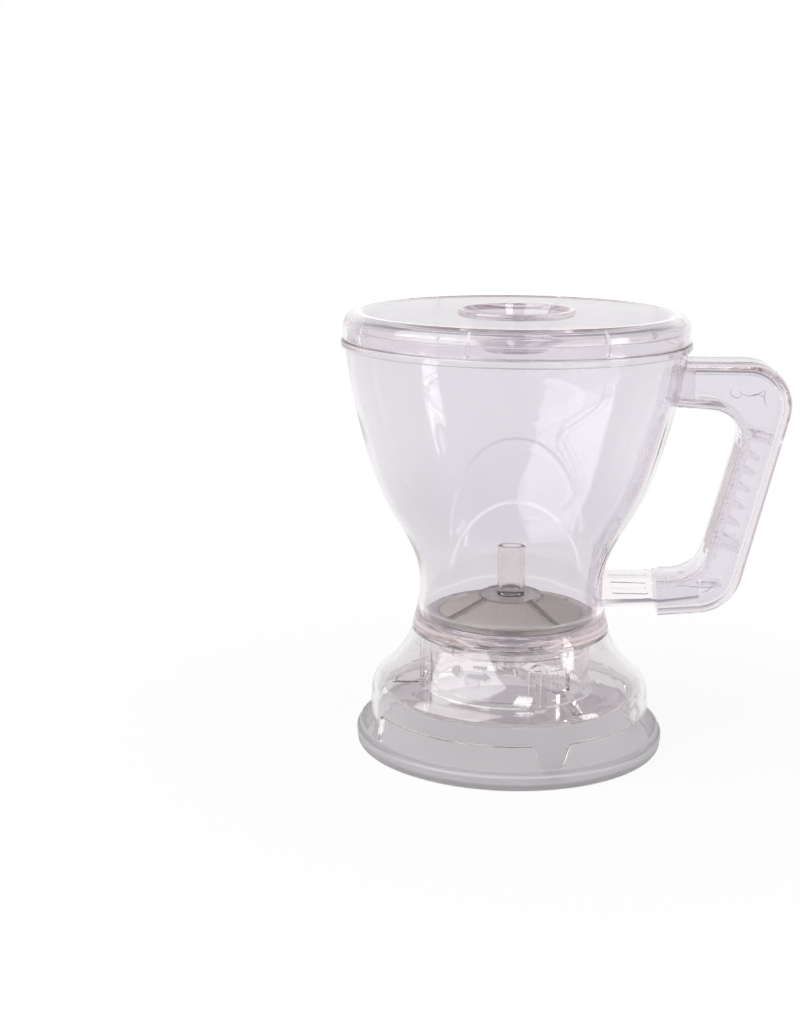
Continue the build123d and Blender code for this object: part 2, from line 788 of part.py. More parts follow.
with BuildPart() as handle_frame:
    with BuildSketch(Plane.XZ):
        with BuildLine():
            loop_face(strip_back, strip_back_radii, handle_inner_corners, handle_inner_radii)
        make_face()
        with BuildLine():
            Polyline(
                handle_inner_corners[0],
                frame_outer[0],
                (bowl_radius + root_block, frame_outer[0][1]),
                (bowl_radius + root_block, strip_back[0][1] - frame_strip / 2),
                close=True,
            )
        make_face()
        for rise in rib_heights:
            with Locations(on_grip(rise, frame_strip - rib_root)):
                Rectangle(
                    rib_length + rib_root, rib_thickness, rotation=-grip_lean,
                    align=(Align.MIN, Align.CENTER),
                )
        for rise in small_rib_heights:
            with Locations(on_grip(rise, frame_strip - rib_root)):
                Rectangle(
                    small_rib_length + rib_root, rib_thickness, rotation=-grip_lean,
                    align=(Align.MIN, Align.CENTER),
                )
    extrude(amount=frame_half_width, both=True)
    with BuildSketch(Plane.XZ):
        with BuildLine():
            Polyline(
                stub_low,
                frame_outer[-1],
                (tongue_tip[0], frame_outer[-1][1] + tongue_rise),
                tongue_tip,
                (strip_back[-1][0] + tongue_lead, tongue_tip[1]),
                (strip_back[-1][0] + tongue_lead, strip_back[-1][1]),
                handle_inner_corners[-1],
                stub_high,
                close=True,
            )
        make_face()
    extrude(amount=stub_width / 2, both=True)
    with BuildSketch(Plane.XZ):
        with Locations(tongue_tip):
            Rectangle(web_length, rib_thickness, align=(Align.MIN, Align.MAX))
    extrude(amount=stub_width / 2, both=True)
    for side in (-1, 1):
        with BuildSketch(Plane.XZ.offset(side * stub_width / 2)):
            with Locations(slot_centre):
                SlotOverall(stub_slot_length, stub_slot_width)
        extrude(amount=-side * stub_slot_depth, mode=Mode.SUBTRACT)
    with BuildSketch(grip_plane):
        strip_outline(snug_gap)
    extrude(amount=strip_thickness + snug_gap, mode=Mode.SUBTRACT)
    add(bowl_envelope.part, mode=Mode.SUBTRACT)
finish(handle_frame, "handle_frame")

with BuildPart() as grip_strip:
    with BuildSketch(grip_plane):
        strip_outline(0)
    extrude(amount=strip_thickness)
finish(grip_strip, "grip_strip")

# ------------------------------------------------------------------ filter
filter_bottom = floor_height + seat_gap
filter_hub_top = floor_height + filter_hub_rise
ring_top = filter_bottom + filter_ring_height
hub_bottom = filter_hub_top - filter_hub_thickness
mesh_foot = (filter_radius - filter_ring_width + mesh_grip, ring_top - mesh_sink)
mesh_head = (filter_hub_radius - mesh_grip, filter_hub_top - mesh_sink)
mesh_fall = hypot(mesh_foot[0] - mesh_head[0], mesh_head[1] - mesh_foot[1])
mesh_normal = (
    (mesh_head[1] - mesh_foot[1]) / mesh_fall,
    (mesh_foot[0] - mesh_head[0]) / mesh_fall,
)


def above_mesh(point, rise):
    """Point moved square off the mesh's upper face by rise."""
    return point[0] + rise * mesh_normal[0], point[1] + rise * mesh_normal[1]


with BuildPart() as filter_mesh:
    with BuildSketch(Plane.XZ):
        with BuildLine():
            Polyline(
                mesh_foot,
                mesh_head,
                above_mesh(mesh_head, -mesh_thickness),
                above_mesh(mesh_foot, -mesh_thickness),
                close=True,
            )
        make_face()
    revolve(axis=Axis.Z)
finish(filter_mesh, "filter_mesh")

with BuildPart() as filter_frame:
    with BuildSketch(Plane.XY.offset(filter_bottom)):
        Circle(filter_radius)
        Circle(filter_radius - filter_ring_width, mode=Mode.SUBTRACT)
    extrude(amount=filter_ring_height)
    with BuildSketch(Plane.XY.offset(hub_bottom)):
        Circle(filter_hub_radius)
        Circle(post_pin_radius, mode=Mode.SUBTRACT)
    extrude(amount=filter_hub_thickness)
    for turn in turns(filter_rib_count, filter_rib_turn):
        with BuildSketch(section_plane(turn)):
            with BuildLine():
                Polyline(
                    mesh_foot,
                    mesh_head,
                    above_mesh(mesh_head, filter_rib_height),
                    above_mesh(mesh_foot, filter_rib_height),
                    close=True,
                )
            make_face()
        extrude(amount=filter_rib_width / 2, both=True)
    add(filter_mesh.part, mode=Mode.SUBTRACT)
finish(filter_frame, "filter_frame")

with BuildPart() as filter_post:
    with BuildSketch(Plane.XY.offset(filter_hub_top)):
        Circle(post_radius)
    extrude(amount=post_height)
    fillet(filter_post.edges().group_by(Axis.Z)[-1], post_edge)
    with BuildSketch(Plane.XY.offset(hub_bottom)):
        Circle(post_pin_radius - snug_gap)
    extrude(amount=filter_hub_thickness)
    with BuildSketch(Plane.XY.offset(filter_hub_top + post_height - post_bore_depth)):
        Circle(post_bore_radius)
    extrude(amount=post_bore_depth, mode=Mode.SUBTRACT)
finish(filter_post, "filter_post")

# ------------------------------------------------------------------ valve
stopper_bottom = sump_height + snug_gap
stopper_top = stopper_bottom + stopper_thickness
stopper_foot = stopper_bottom - stopper_plug_length
stem_foot = arm_top - hub_socket_depth + snug_gap

with BuildPart() as valve_stopper:
    with BuildSketch(Plane.XY.offset(stopper_bottom)):
        Circle(stopper_radius)
    extrude(amount=stopper_thickness)
    fillet(valve_stopper.edges().group_by(Axis.Z)[-1], stopper_thickness / 2)
    with BuildSketch(Plane.XY.offset(stopper_foot)):
        Circle(stopper_plug_radius)
    extrude(amount=stopper_plug_length)
    with BuildSketch(Plane.XY.offset(stopper_foot)):
        Circle(stem_radius + snug_gap)
    extrude(amount=stopper_plug_length + stopper_thickness, mode=Mode.SUBTRACT)
finish(valve_stopper, "valve_stopper")

with BuildPart() as valve_stem:
    with BuildSketch(Plane.XY.offset(stem_foot)):
        Circle(stem_radius)
    extrude(amount=stopper_top + stem_head_height - stem_foot)
    with BuildSketch(Plane.XY.offset(stopper_top)):
        Circle(stem_head_radius)
    extrude(amount=stem_head_height)
    fillet(valve_stem.edges().group_by(Axis.Z)[-1], stem_head_height / 3)
    with BuildSketch(Plane.XY.offset(stopper_foot - stem_flange_height)):
        Circle(stem_flange_radius)
    extrude(amount=stem_flange_height)
finish(valve_stem, "valve_stem")

with BuildPart() as stem_guide:
    guide_radius = spout_bore_radius - snug_gap
    guide_plane = Plane.XY.offset(spout_bottom + seat_gap)
    with BuildSketch(guide_plane):
        Circle(guide_radius)
        Circle(guide_radius - guide_wall, mode=Mode.SUBTRACT)
        Circle(guide_boss_radius)
        with PolarLocations(0, guide_spokes):
            Rectangle(
                guide_radius - guide_wall / 2, guide_spoke_width, align=(Align.MIN, Align.CENTER)
            )
        Circle(stem_radius + running_gap, mode=Mode.SUBTRACT)
    extrude(amount=guide_length)
finish(stem_guide, "stem_guide")

# ------------------------------------------------------------------ lid
lid_skirt_radius = flange_radius - lid_inset
lid_radius = lid_skirt_radius - lid_draft
lid_bottom = flange_top + seat_gap
lid_top = lid_bottom + lid_height
lid_underside = lid_top - lid_deck
recess_floor = lid_top - recess_depth
rib_step = collar_top + seat_gap
rib_shelf_radius = collar_inner + seat_gap

with BuildPart() as lid:
    with BuildSketch(Plane.XZ) as lid_section:
        with BuildLine():
            Polyline(
                (lid_skirt_radius, lid_bottom),
                (lid_radius, lid_top),
                (recess_radius + recess_lip_width, lid_top),
                (recess_radius + recess_lip_width, lid_top + recess_lip),
                (recess_radius, lid_top + recess_lip),
                (recess_floor_radius, recess_floor),
                (0, recess_floor),
                (0, recess_floor - recess_wall),
                (recess_floor_radius + recess_wall / 2, recess_floor - recess_wall),
                (recess_radius + recess_wall, lid_underside),
                (lid_radius - lid_wall, lid_underside),
                (lid_skirt_radius - lid_wall, lid_bottom),
                close=True,
            )
        make_face()
        edge_corner = lid_section.vertices().sort_by_distance((lid_radius, lid_top))[0]
        fillet(edge_corner, lid_edge)
        lip_corners = lid_section.vertices().group_by(Axis.Y)[-1]
        fillet(lip_corners, recess_lip / 2)
    revolve(axis=Axis.Z)
    for turn in turns(lid_rib_count, lid_rib_turn):
        with BuildSketch(section_plane(turn)):
            with BuildLine():
                Polyline(
                    (collar_outer + running_gap, lid_bottom),
                    (lid_skirt_radius - lid_wall / 2, lid_bottom),
                    (lid_radius - lid_wall / 2, lid_underside + snug_gap),
                    (rib_shelf_radius, lid_underside + snug_gap),
                    (rib_shelf_radius, rib_step),
                    (collar_outer + running_gap, rib_step),
                    close=True,
                )
            make_face()
        extrude(amount=lid_rib_width / 2, both=True)
finish(lid, "lid")
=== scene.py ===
"""Looks of a steep-and-release tea maker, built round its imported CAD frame.

Metres in Blender, millimetres in the sizes below. +Z is up, the handle points along +X and the
front faces -Y. A "turn" is an angle in degrees from the front towards +X.
"""

import json
import logging
import math
from dataclasses import dataclass, field
from enum import Enum
from typing import Iterable, Sequence

import bmesh
import bpy
import numpy as np
from mathutils import Matrix, Vector

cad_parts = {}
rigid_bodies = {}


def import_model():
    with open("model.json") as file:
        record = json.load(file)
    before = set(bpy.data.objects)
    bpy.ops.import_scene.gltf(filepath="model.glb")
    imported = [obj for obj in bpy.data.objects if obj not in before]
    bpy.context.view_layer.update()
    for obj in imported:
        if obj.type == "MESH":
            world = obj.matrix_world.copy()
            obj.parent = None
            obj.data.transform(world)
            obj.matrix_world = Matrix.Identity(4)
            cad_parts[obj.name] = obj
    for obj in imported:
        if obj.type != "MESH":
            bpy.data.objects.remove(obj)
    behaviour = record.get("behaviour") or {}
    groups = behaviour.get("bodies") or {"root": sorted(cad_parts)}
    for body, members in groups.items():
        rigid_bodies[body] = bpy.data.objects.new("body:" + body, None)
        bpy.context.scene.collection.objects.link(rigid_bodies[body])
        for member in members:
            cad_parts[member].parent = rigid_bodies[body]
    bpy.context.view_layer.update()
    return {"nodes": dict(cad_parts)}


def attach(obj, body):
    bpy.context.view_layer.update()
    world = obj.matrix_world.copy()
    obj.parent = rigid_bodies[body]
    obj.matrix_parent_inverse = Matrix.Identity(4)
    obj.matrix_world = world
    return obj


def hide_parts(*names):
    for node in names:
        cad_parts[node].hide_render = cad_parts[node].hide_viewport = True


for leftover in list(bpy.data.objects):
    bpy.data.objects.remove(leftover)

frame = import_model()

logging.basicConfig(level=logging.INFO, format="%(name)s: %(message)s")
log = logging.getLogger("tea_maker")

MM = 0.001
PICTURE_SIZE = (800, 1024)
# Attribute of painted light and shade: 1 lights a surface with a painted highlight, -1 turns it to
# a painted shade.
PAINTED_LIGHT_AND_SHADE = "painted_light_and_shade"
WHITE = "#FFFFFF"

STRAIGHT = 89.5             # half the angle, in degrees, of a corner that is as good as straight
HOLD_SHARE = 0.25           # beside a fillet, a run is held flat from this share of its radius
HOLD_LEAST = 0.08           # and at least this far, in millimetres
HOLD_MOST = 0.8             # but not past this share of the run
NEAR_TURN = 0.02            # columns nearer than this many degrees are one
SNUG_TURN = 0.01            # play, in degrees, when a column is held against an edge
TINY = 1e-3                 # keeps a division finite
MERGE_METRES = 2e-6         # points nearer than this are one
FLAT_DEGREES = 0.5          # CAD faces that meet at less than this are one flat face
HARD_RADIANS = 0.6          # CAD edges that turn more than this get rounded
CRISP_DEGREES = 40.0        # edges that turn more than this aren't shaded smooth
CRISP_CAD_DEGREES = 30.0    # and those of a softened CAD mesh
NOISE_RANGE = (0.3, 0.7)    # where most of a noise texture's values lie
HAZE_PLAY = 0.05            # how far the roughness of a grained surface strays
MIX_FIRST, MIX_SECOND, MIX_RESULT = 6, 7, 2     # a Mix node's sockets for colours


class Body(Enum):
    """The moving bodies of the frame."""

    COASTER = "coaster"
    BREWER = "brewer"
    BASE = "base"
    PLATE = "plate"
    VALVE = "valve"
    FILTER = "filter"
    LID = "lid"


class Slot(Enum):
    """The record's material slots."""

    CLEAR = "clear_plastic"
    HANDLE = "handle_plastic"
    FROSTED = "frosted_plastic"
    MARK = "mark_grey"
    GRIP = "grip_pink"
    FILTER = "filter_grey"
    MESH = "nylon_mesh"
    POST = "post_frost"
    SILICONE = "silicone"
    STEM = "stem_white"


# ---------------------------------------------------------------------- shapes worked out in numpy


def rounded(corners: Sequence[tuple[float, float, float]], steps: int = 5) -> np.ndarray:
    """A path through corners, each replaced by an arc that touches both of its runs.

    The arc's centre lies on the corner's bisector, radius / sin(half angle) from the corner, and
    its points turn evenly about that centre. Two extra points hold each straight run flat.

    Args:
        corners: (r, z, fillet radius) of each corner; the first and last keep their place.
        steps: points along each arc.

    Returns:
        The path's (r, z) points, one a row.
    """
    flat = np.array(corners, float)
    places, radii = flat[:, :2], flat[:, 2]
    parts = [places[:1]]
    for before, here, after, radius in zip(places, places[1:], places[2:], radii[1:]):
        back, ahead = before - here, after - here
        back_run, ahead_run = np.linalg.norm(back), np.linalg.norm(ahead)
        back, ahead = back / back_run, ahead / ahead_run
        half = math.acos(float(np.clip(back @ ahead, -1.0, 1.0))) / 2
        if radius <= 0 or half > math.radians(STRAIGHT):
            parts.append(here[None])
            continue
        reach = radius / math.tan(half)
        bisector = (back + ahead) / np.linalg.norm(back + ahead)
        centre = here + bisector * radius / math.sin(half)
        start, end = here + back * reach - centre, here + ahead * reach - centre
        first = math.atan2(start[1], start[0])
        sweep = (math.atan2(end[1], end[0]) - first + math.pi) % (2 * math.pi) - math.pi
        angles = first + sweep * np.linspace(0.0, 1.0, steps)
        arc = centre + radius * np.stack([np.cos(angles), np.sin(angles)], axis=1)
        reach += max(HOLD_SHARE * radius, HOLD_LEAST)
        held_before = here + back * min(reach, HOLD_MOST * back_run)
        held_after = here + ahead * min(reach, HOLD_MOST * ahead_run)
        parts += [held_before[None], arc, held_after[None]]
    parts.append(places[-1:])
    return np.concatenate(parts)


def spline(points: Sequence[tuple[float, float]], shares: np.ndarray) -> np.ndarray:
    """A natural cubic spline through points, by chord length.

    The second derivatives at the points solve the usual three-term system, and are zero at both
    ends. Between two points each coordinate is the cubic with those second derivatives.

    Args:
        points: the points that the curve passes.
        shares: where to read it off, from 0 at its start to 1 at its end along the chords.

    Returns:
        The curve's points, one a row.
    """
    places = np.array(points, float)
    steps = np.linalg.norm(np.diff(places, axis=0), axis=1)
    knots = np.concatenate([[0.0], np.cumsum(steps)])
    size = len(places)
    system = np.eye(size)
    inner = np.arange(1, size - 1)
    system[inner, inner] = 2 * (steps[:-1] + steps[1:])
    system[inner, inner - 1], system[inner, inner + 1] = steps[:-1], steps[1:]
    slopes = np.diff(places, axis=0) / steps[:, None]
    right = np.zeros_like(places)
    right[1:-1] = 6 * np.diff(slopes, axis=0)
    bends = np.linalg.solve(system, right)
    where = shares * knots[-1]
    left = np.clip(np.searchsorted(knots, where, side="right") - 1, 0, size - 2)
    span = steps[left][:, None]
    ahead = (knots[left + 1] - where)[:, None]
    behind = (where - knots[left])[:, None]
    cubic = (bends[left] * ahead**3 + bends[left + 1] * behind**3) / (6 * span)
    first = (places[left] / span - bends[left] * span / 6) * ahead
    second = (places[left + 1] / span - bends[left + 1] * span / 6) * behind
    return cubic + first + second


def arc_points(
    centre: tuple[float, float], radius: float, first: float, last: float, count: int
) -> np.ndarray:
    """Points of a circular arc in a section.

    Args:
        centre: (r, z) of the arc's centre.
        radius: its radius.
        first: angle of its first point, in degrees from the +r direction.
        last: angle of its last point.
        count: number of points.

    Returns:
        (r, z) points, one a row.
    """
    angles = np.radians(np.linspace(first, last, count))
    return np.array(centre) + radius * np.stack([np.cos(angles), np.sin(angles)], axis=1)


def smooth_step(value: np.ndarray, span: tuple[float, float] = (0.0, 1.0)) -> np.ndarray:
    """0 before the span, 1 past it, and 3 v^2 - 2 v^3 at the share v of it."""
    share = np.clip((value - span[0]) / (span[1] - span[0]), 0.0, 1.0)
    return share * share * (3 - 2 * share)


def soft_ramp(value: np.ndarray, width: float) -> np.ndarray:
    """A ramp from 0 to 1 over 0 to 1 whose two corners are rounded.

    It is the plain ramp averaged over a window of this width, which the ramp's antiderivative
    gives as a difference: (F(v + w / 2) - F(v - w / 2)) / w.

    Args:
        value: where to read the ramp.
        width: the window's width.

    Returns:
        The ramp's values.
    """

    def area(place: np.ndarray) -> np.ndarray:
        """Area under the plain ramp up to a place: v^2 / 2 on its slope, then v - 1 / 2."""
        inside = np.clip(place, 0.0, 1.0)
        return inside * inside / 2 + np.maximum(place - 1.0, 0.0)

    return (area(value + width / 2) - area(value - width / 2)) / width


def even_turns(count: int) -> np.ndarray:
    """Turns of count equal places round the circle, from the front."""
    return 360.0 * np.arange(count) / count


def merged_turns(*groups: Iterable[float]) -> np.ndarray:
    """All turns of several groups within one circle, in order, without near repeats.

    Args:
        groups: the groups of turns.

    Returns:
        The turns, from 0 to 360.
    """
    every = np.sort(np.concatenate([np.asarray(list(group), float) % 360.0 for group in groups]))
    keep = np.diff(every, prepend=every[-1] - 360.0) > NEAR_TURN
    return every[keep]


def beside(centres: Sequence[float], offsets: Iterable[float]) -> np.ndarray:
    """The turns at each of the offsets from each of the centres."""
    return (np.array(centres)[:, None] + np.array(list(offsets))).ravel()


def edges_of(centres: Sequence[float], half: float, step: float) -> np.ndarray:
    """The turns of both edges of a raised strip at each centre, and a step outside them."""
    return beside(centres, (-half - step, -half, half, half + step))


def turns_past(turns: np.ndarray, centres: Sequence[float]) -> np.ndarray:
    """How far each turn lies past each centre, from -180 to 180, a row for each turn."""
    return (turns[:, None] - np.array(centres) + 180.0) % 360.0 - 180.0


def within(
    turns: np.ndarray,
    centres: Sequence[float],
    low: float,
    high: float,
    play: float = SNUG_TURN,
) -> np.ndarray:
    """Which turns lie from low to high past any of the centres.

    Args:
        turns: the turns.
        centres: the centres' turns.
        low: where the span starts, from -180.
        high: where it ends, up to 180.
        play: how far outside the span a turn may lie.

    Returns:
        True or False for each turn.
    """
    past = turns_past(turns, centres)
    return ((past >= low - play) & (past <= high + play)).any(axis=1)


def lathe(sections: np.ndarray, turns: np.ndarray) -> np.ndarray:
    """Carry a section round the axis: x = r sin(turn), y = -r cos(turn), z = z.

    Args:
        sections: (rows, 2) for one section, or (columns, rows, 2) for one at each turn.
        turns: the columns' turns in degrees.

    Returns:
        (columns, rows, 3) points in millimetres.
    """
    if sections.ndim == 2:
        sections = np.broadcast_to(sections, (len(turns),) + sections.shape)
    angle = np.radians(turns)[:, None]
    radius, height = sections[..., 0], sections[..., 1]
    return np.stack([radius * np.sin(angle), -radius * np.cos(angle), height], axis=-1)


def grid_cells(columns: int, rows: int, closed_rows: bool) -> np.ndarray:
    """Corner indices of the four-sided cells of a grid that closes round its columns.

    Args:
        columns: columns of points.
        rows: rows of points.
        closed_rows: whether the last row joins the first.

    Returns:
        (columns, cells, 4) indices into the grid's points.
    """
    column = np.arange(columns)[:, None]
    row = np.arange(rows if closed_rows else rows - 1)[None]
    after, above = (column + 1) % columns, (row + 1) % rows
    corners = [column * rows + row, after * rows + row, after * rows + above, column * rows + above]
    return np.stack(np.broadcast_arrays(*corners), axis=-1)


def pierce(
    cells: np.ndarray, rows: int, holes: np.ndarray, inner_top: int, outer_top: int
) -> list[np.ndarray]:
    """Cut holes through a tube wall of a grid and line their edges.

    The wall's inner face runs down from row inner_top and its outer face runs up to row outer_top,
    level with it. A hole's cells are left out of both faces, and where a hole's cell meets a kept
    one a four-sided face joins the inner edge to the outer edge.

    Args:
        cells: the grid's cells, from grid_cells.
        rows: rows of points in the grid.
        holes: (columns, levels) True where the wall is open, from the top level down.
        inner_top: row of the inner face's top.
        outer_top: row of the outer face's top.

    Returns:
        The kept cells and the linings, each as (count, 4) indices.
    """
    columns, levels = holes.shape
    keep = np.ones(cells.shape[:2], bool)
    keep[:, inner_top : inner_top + levels] &= ~holes
    keep[:, outer_top - levels : outer_top] &= ~holes[:, ::-1]
    keep[:, inner_top + levels : outer_top - levels] &= ~holes[:, -1:]

    def inner(column: np.ndarray, level: np.ndarray) -> np.ndarray:
        """Points of the inner face at these columns and levels."""
        return (column % columns) * rows + inner_top + level

    def outer(column: np.ndarray, level: np.ndarray) -> np.ndarray:
        """Points of the outer face at these columns and levels."""
        return (column % columns) * rows + outer_top - level

    column, level = np.nonzero(holes != np.roll(holes, 1, axis=0))
    upright = [inner(column, level), inner(column, level + 1)]
    upright += [outer(column, level + 1), outer(column, level)]
    padded = np.pad(holes, ((0, 0), (1, 0)))
    column, level = np.nonzero(padded[:, 1:] != padded[:, :-1])
    across = [inner(column, level), inner(column + 1, level)]
    across += [outer(column + 1, level), outer(column, level)]
    return [cells[keep], np.stack(upright, axis=-1), np.stack(across, axis=-1)]


def swept(paths: np.ndarray) -> tuple[np.ndarray, np.ndarray]:
    """A closed section carried along a path, with both ends closed.

    The section's first half of rows is its outside and its second half its inside, in reversed
    order, so that a row and its mirror face each other across the wall. Each end is closed by
    cells between facing rows.

    Args:
        paths: (columns, rows, 3) points, one column for each place along the path.

    Returns:
        The points and the (count, 4) corner indices.
    """
    columns, rows = paths.shape[:2]
    wall = grid_cells(columns, rows, closed_rows=True)[:-1].reshape(-1, 4)
    outer = np.arange(rows // 2 - 1)
    facing = rows - 1 - outer
    end = np.stack([outer, outer + 1, facing - 1, facing], axis=-1)
    return paths, np.concatenate([wall, end, end + (columns - 1) * rows])


def parallel(corners: Sequence[tuple[float, float, float]], shift: float, steps: int) -> np.ndarray:
    """A rounded clockwise path moved to its right by shift, point for point.

    Each run moves square to itself. A corner moves along its bisector, by the sum of its runs'
    normals over one plus their product, and its fillet shrinks by shift.

    Args:
        corners: (x, z, fillet radius) of each corner.
        shift: distance to the right of the path.
        steps: points along each arc.

    Returns:
        The path's (x, z) points, one a row.
    """
    flat = np.array(corners, float)
    runs = np.diff(flat[:, :2], axis=0)
    runs /= np.linalg.norm(runs, axis=1)[:, None]
    normals = np.stack([runs[:, 1], -runs[:, 0]], axis=1)
    before, after = np.vstack([normals[:1], normals]), np.vstack([normals, normals[-1:]])
    product = (before * after).sum(axis=1)[:, None]
    moved = flat[:, :2] + shift * (before + after) / (1 + product)
    return rounded(np.column_stack([moved, flat[:, 2] - shift]), steps)


def tube(centres: np.ndarray, radius: float, sides: int = 8) -> tuple[np.ndarray, np.ndarray]:
    """A thin round bead along a path in a plane of constant Y, tapered to nothing at its ends.

    Args:
        centres: (count, 3) points of its middle line.
        radius: its radius at the middle.
        sides: points round it.

    Returns:
        The points and the (count, 4) corner indices.
    """
    along = np.gradient(centres, axis=0)
    along /= np.linalg.norm(along, axis=1)[:, None]
    across = np.cross(along, (0.0, 1.0, 0.0))
    turn = np.linspace(0.0, math.tau, sides, endpoint=False)[None, :, None]
    size = radius * np.sqrt(np.sin(np.linspace(0.0, math.pi, len(centres))))[:, None, None]
    ring = np.cos(turn) * across[:, None] + np.sin(turn) * np.array((0.0, 1.0, 0.0))
    cells = grid_cells(len(centres), sides, closed_rows=True)[:-1]
    return centres[:, None] + size * ring, cells.reshape(-1, 4)


def mesh_of(
    name: str, points: np.ndarray, cells: np.ndarray, lines: np.ndarray | None = None
) -> bpy.types.Mesh:
    """A smooth mesh from points in millimetres, with its poles and repeated points merged.

    Args:
        name: the mesh's name.
        points: (..., 3) points.
        cells: (..., 4) corner indices.
        lines: values of the attribute of painted light and shade, by point or by row, if it has
            them.

    Returns:
        The mesh, in metres.
    """
    mesh = bpy.data.meshes.new(name)
    mesh.from_pydata((points.reshape(-1, 3) * MM).tolist(), [], cells.reshape(-1, 4).tolist())
    if lines is not None:
        layer = mesh.attributes.new(PAINTED_LIGHT_AND_SHADE, "FLOAT", "POINT")
        values = np.broadcast_to(lines, points.shape[:-1]).astype(np.float32)
        layer.data.foreach_set("value", values.ravel())
    return finished(mesh, CRISP_DEGREES)


def softened(node: str, edge_mm: float) -> bpy.types.Mesh:
    """A copy of a CAD node's mesh with its flat faces made whole and its edges rounded.

    Args:
        node: the CAD node.
        edge_mm: radius of its rounded edges.

    Returns:
        The mesh, in metres.
    """
    mesh = frame["nodes"][node].data.copy()
    mesh.name = f"soft_{node}"
    mesh.materials.clear()
    work = bmesh.new()
    work.from_mesh(mesh)
    bmesh.ops.remove_doubles(work, verts=work.verts, dist=MERGE_METRES)
    bmesh.ops.dissolve_limit(
        work, angle_limit=math.radians(FLAT_DEGREES), verts=work.verts, edges=work.edges
    )
    inner_edges = [edge for edge in work.edges if edge.is_manifold]
    bmesh.ops.bevel(
        work,
        geom=[edge for edge in inner_edges if edge.calc_face_angle() > HARD_RADIANS],
        offset=edge_mm * MM,
        segments=2,
        profile=0.5,
        affect="EDGES",
        clamp_overlap=True,
        harden_normals=False,
    )
    bmesh.ops.triangulate(work, faces=[face for face in work.faces if len(face.verts) > 4])
    work.to_mesh(mesh)
    work.free()
    return finished(mesh, CRISP_CAD_DEGREES)


def finished(mesh: bpy.types.Mesh, sharp: float) -> bpy.types.Mesh:
    """Merge a mesh's doubles, turn its faces outwards and shade it smooth up to an angle.

    Args:
        mesh: the mesh, changed in place.
        sharp: angle in degrees above which an edge stays crisp.

    Returns:
        The same mesh.
    """
    work = bmesh.new()
    work.from_mesh(mesh)
    bmesh.ops.remove_doubles(work, verts=work.verts, dist=MERGE_METRES)
    bmesh.ops.recalc_face_normals(work, faces=work.faces)
    work.to_mesh(mesh)
    work.free()
    mesh.shade_smooth()
    mesh.set_sharp_from_angle(angle=math.radians(sharp))
    return mesh


# ---------------------------------------------------------------------- materials


def linear(colour: str) -> tuple[float, float, float, float]:
    """A colour for a socket: c / 12.92 where c is small, else ((c + 0.055) / 1.055) ^ 2.4.

    Args:
        colour: an sRGB hex colour such as '#DEDAE2'.

    Returns:
        Its linear red, green and blue, and an alpha of 1.
    """
    parts = np.array([int(colour[i : i + 2], 16) for i in (1, 3, 5)]) / 255.0
    light = np.where(parts <= 0.04045, parts / 12.92, ((parts + 0.055) / 1.055) ** 2.4)
    return (*map(float, light), 1.0)


def add_node(
    tree: bpy.types.NodeTree, kind: str, feeds: dict | None = None, **settings: object
) -> bpy.types.Node:
    """Add a node with its settings and links.

    Args:
        tree: the node tree.
        kind: the node's type name.
        feeds: input name or index to the output socket that feeds it, or to its value.
        settings: input or attribute values; a name with an underscore for a space sets an input.

    Returns:
        The node.
    """
    node = tree.nodes.new(kind)
    for name, value in settings.items():
        if hasattr(node, name):
            setattr(node, name, value)
        else:
            node.inputs[name.replace("_", " ")].default_value = value
    for name, feed in (feeds or {}).items():
        if isinstance(feed, bpy.types.NodeSocket):
            tree.links.new(feed, node.inputs[name])
        else:
            node.inputs[name].default_value = feed
    return node


def new_material(name: str) -> tuple[bpy.types.Material, bpy.types.NodeTree]:
    """An empty node material.

    Args:
        name: its name.

    Returns:
        The material and its tree.
    """
    material = bpy.data.materials.new(name)
    material.use_nodes = True
    material.node_tree.nodes.clear()
    return material, material.node_tree


def ripple(
    tree: bpy.types.NodeTree,
    size_mm: float,
    height_mm: float,
    polish: tuple[float, float],
    detail: float = 2.0,
) -> tuple[bpy.types.NodeSocket, dict[str, bpy.types.NodeSocket]]:
    """A soft noise on object coordinates, with the bump and the roughness that follow it.

    Args:
        tree: the node tree.
        size_mm: size of one wave.
        height_mm: height of the waves.
        polish: roughness in the waves' troughs and on their crests.
        detail: octaves of finer noise.

    Returns:
        The noise value, and what feeds a shader's inputs "Roughness" and "Normal".
    """
    place = add_node(tree, "ShaderNodeTexCoord")
    noise = add_node(
        tree,
        "ShaderNodeTexNoise",
        {"Vector": place.outputs["Object"]},
        Scale=1.0 / (size_mm * MM),
        Detail=detail,
        Roughness=0.5,
    ).outputs["Fac"]
    bump = add_node(
        tree, "ShaderNodeBump", {"Height": noise}, Strength=1.0, Distance=height_mm * MM
    )
    rough = add_node(
        tree,
        "ShaderNodeMapRange",
        {"Value": noise},
        From_Min=NOISE_RANGE[0],
        From_Max=NOISE_RANGE[1],
        To_Min=polish[0],
        To_Max=polish[1],
    )
    return noise, {"Roughness": rough.outputs["Result"], "Normal": bump.outputs["Normal"]}


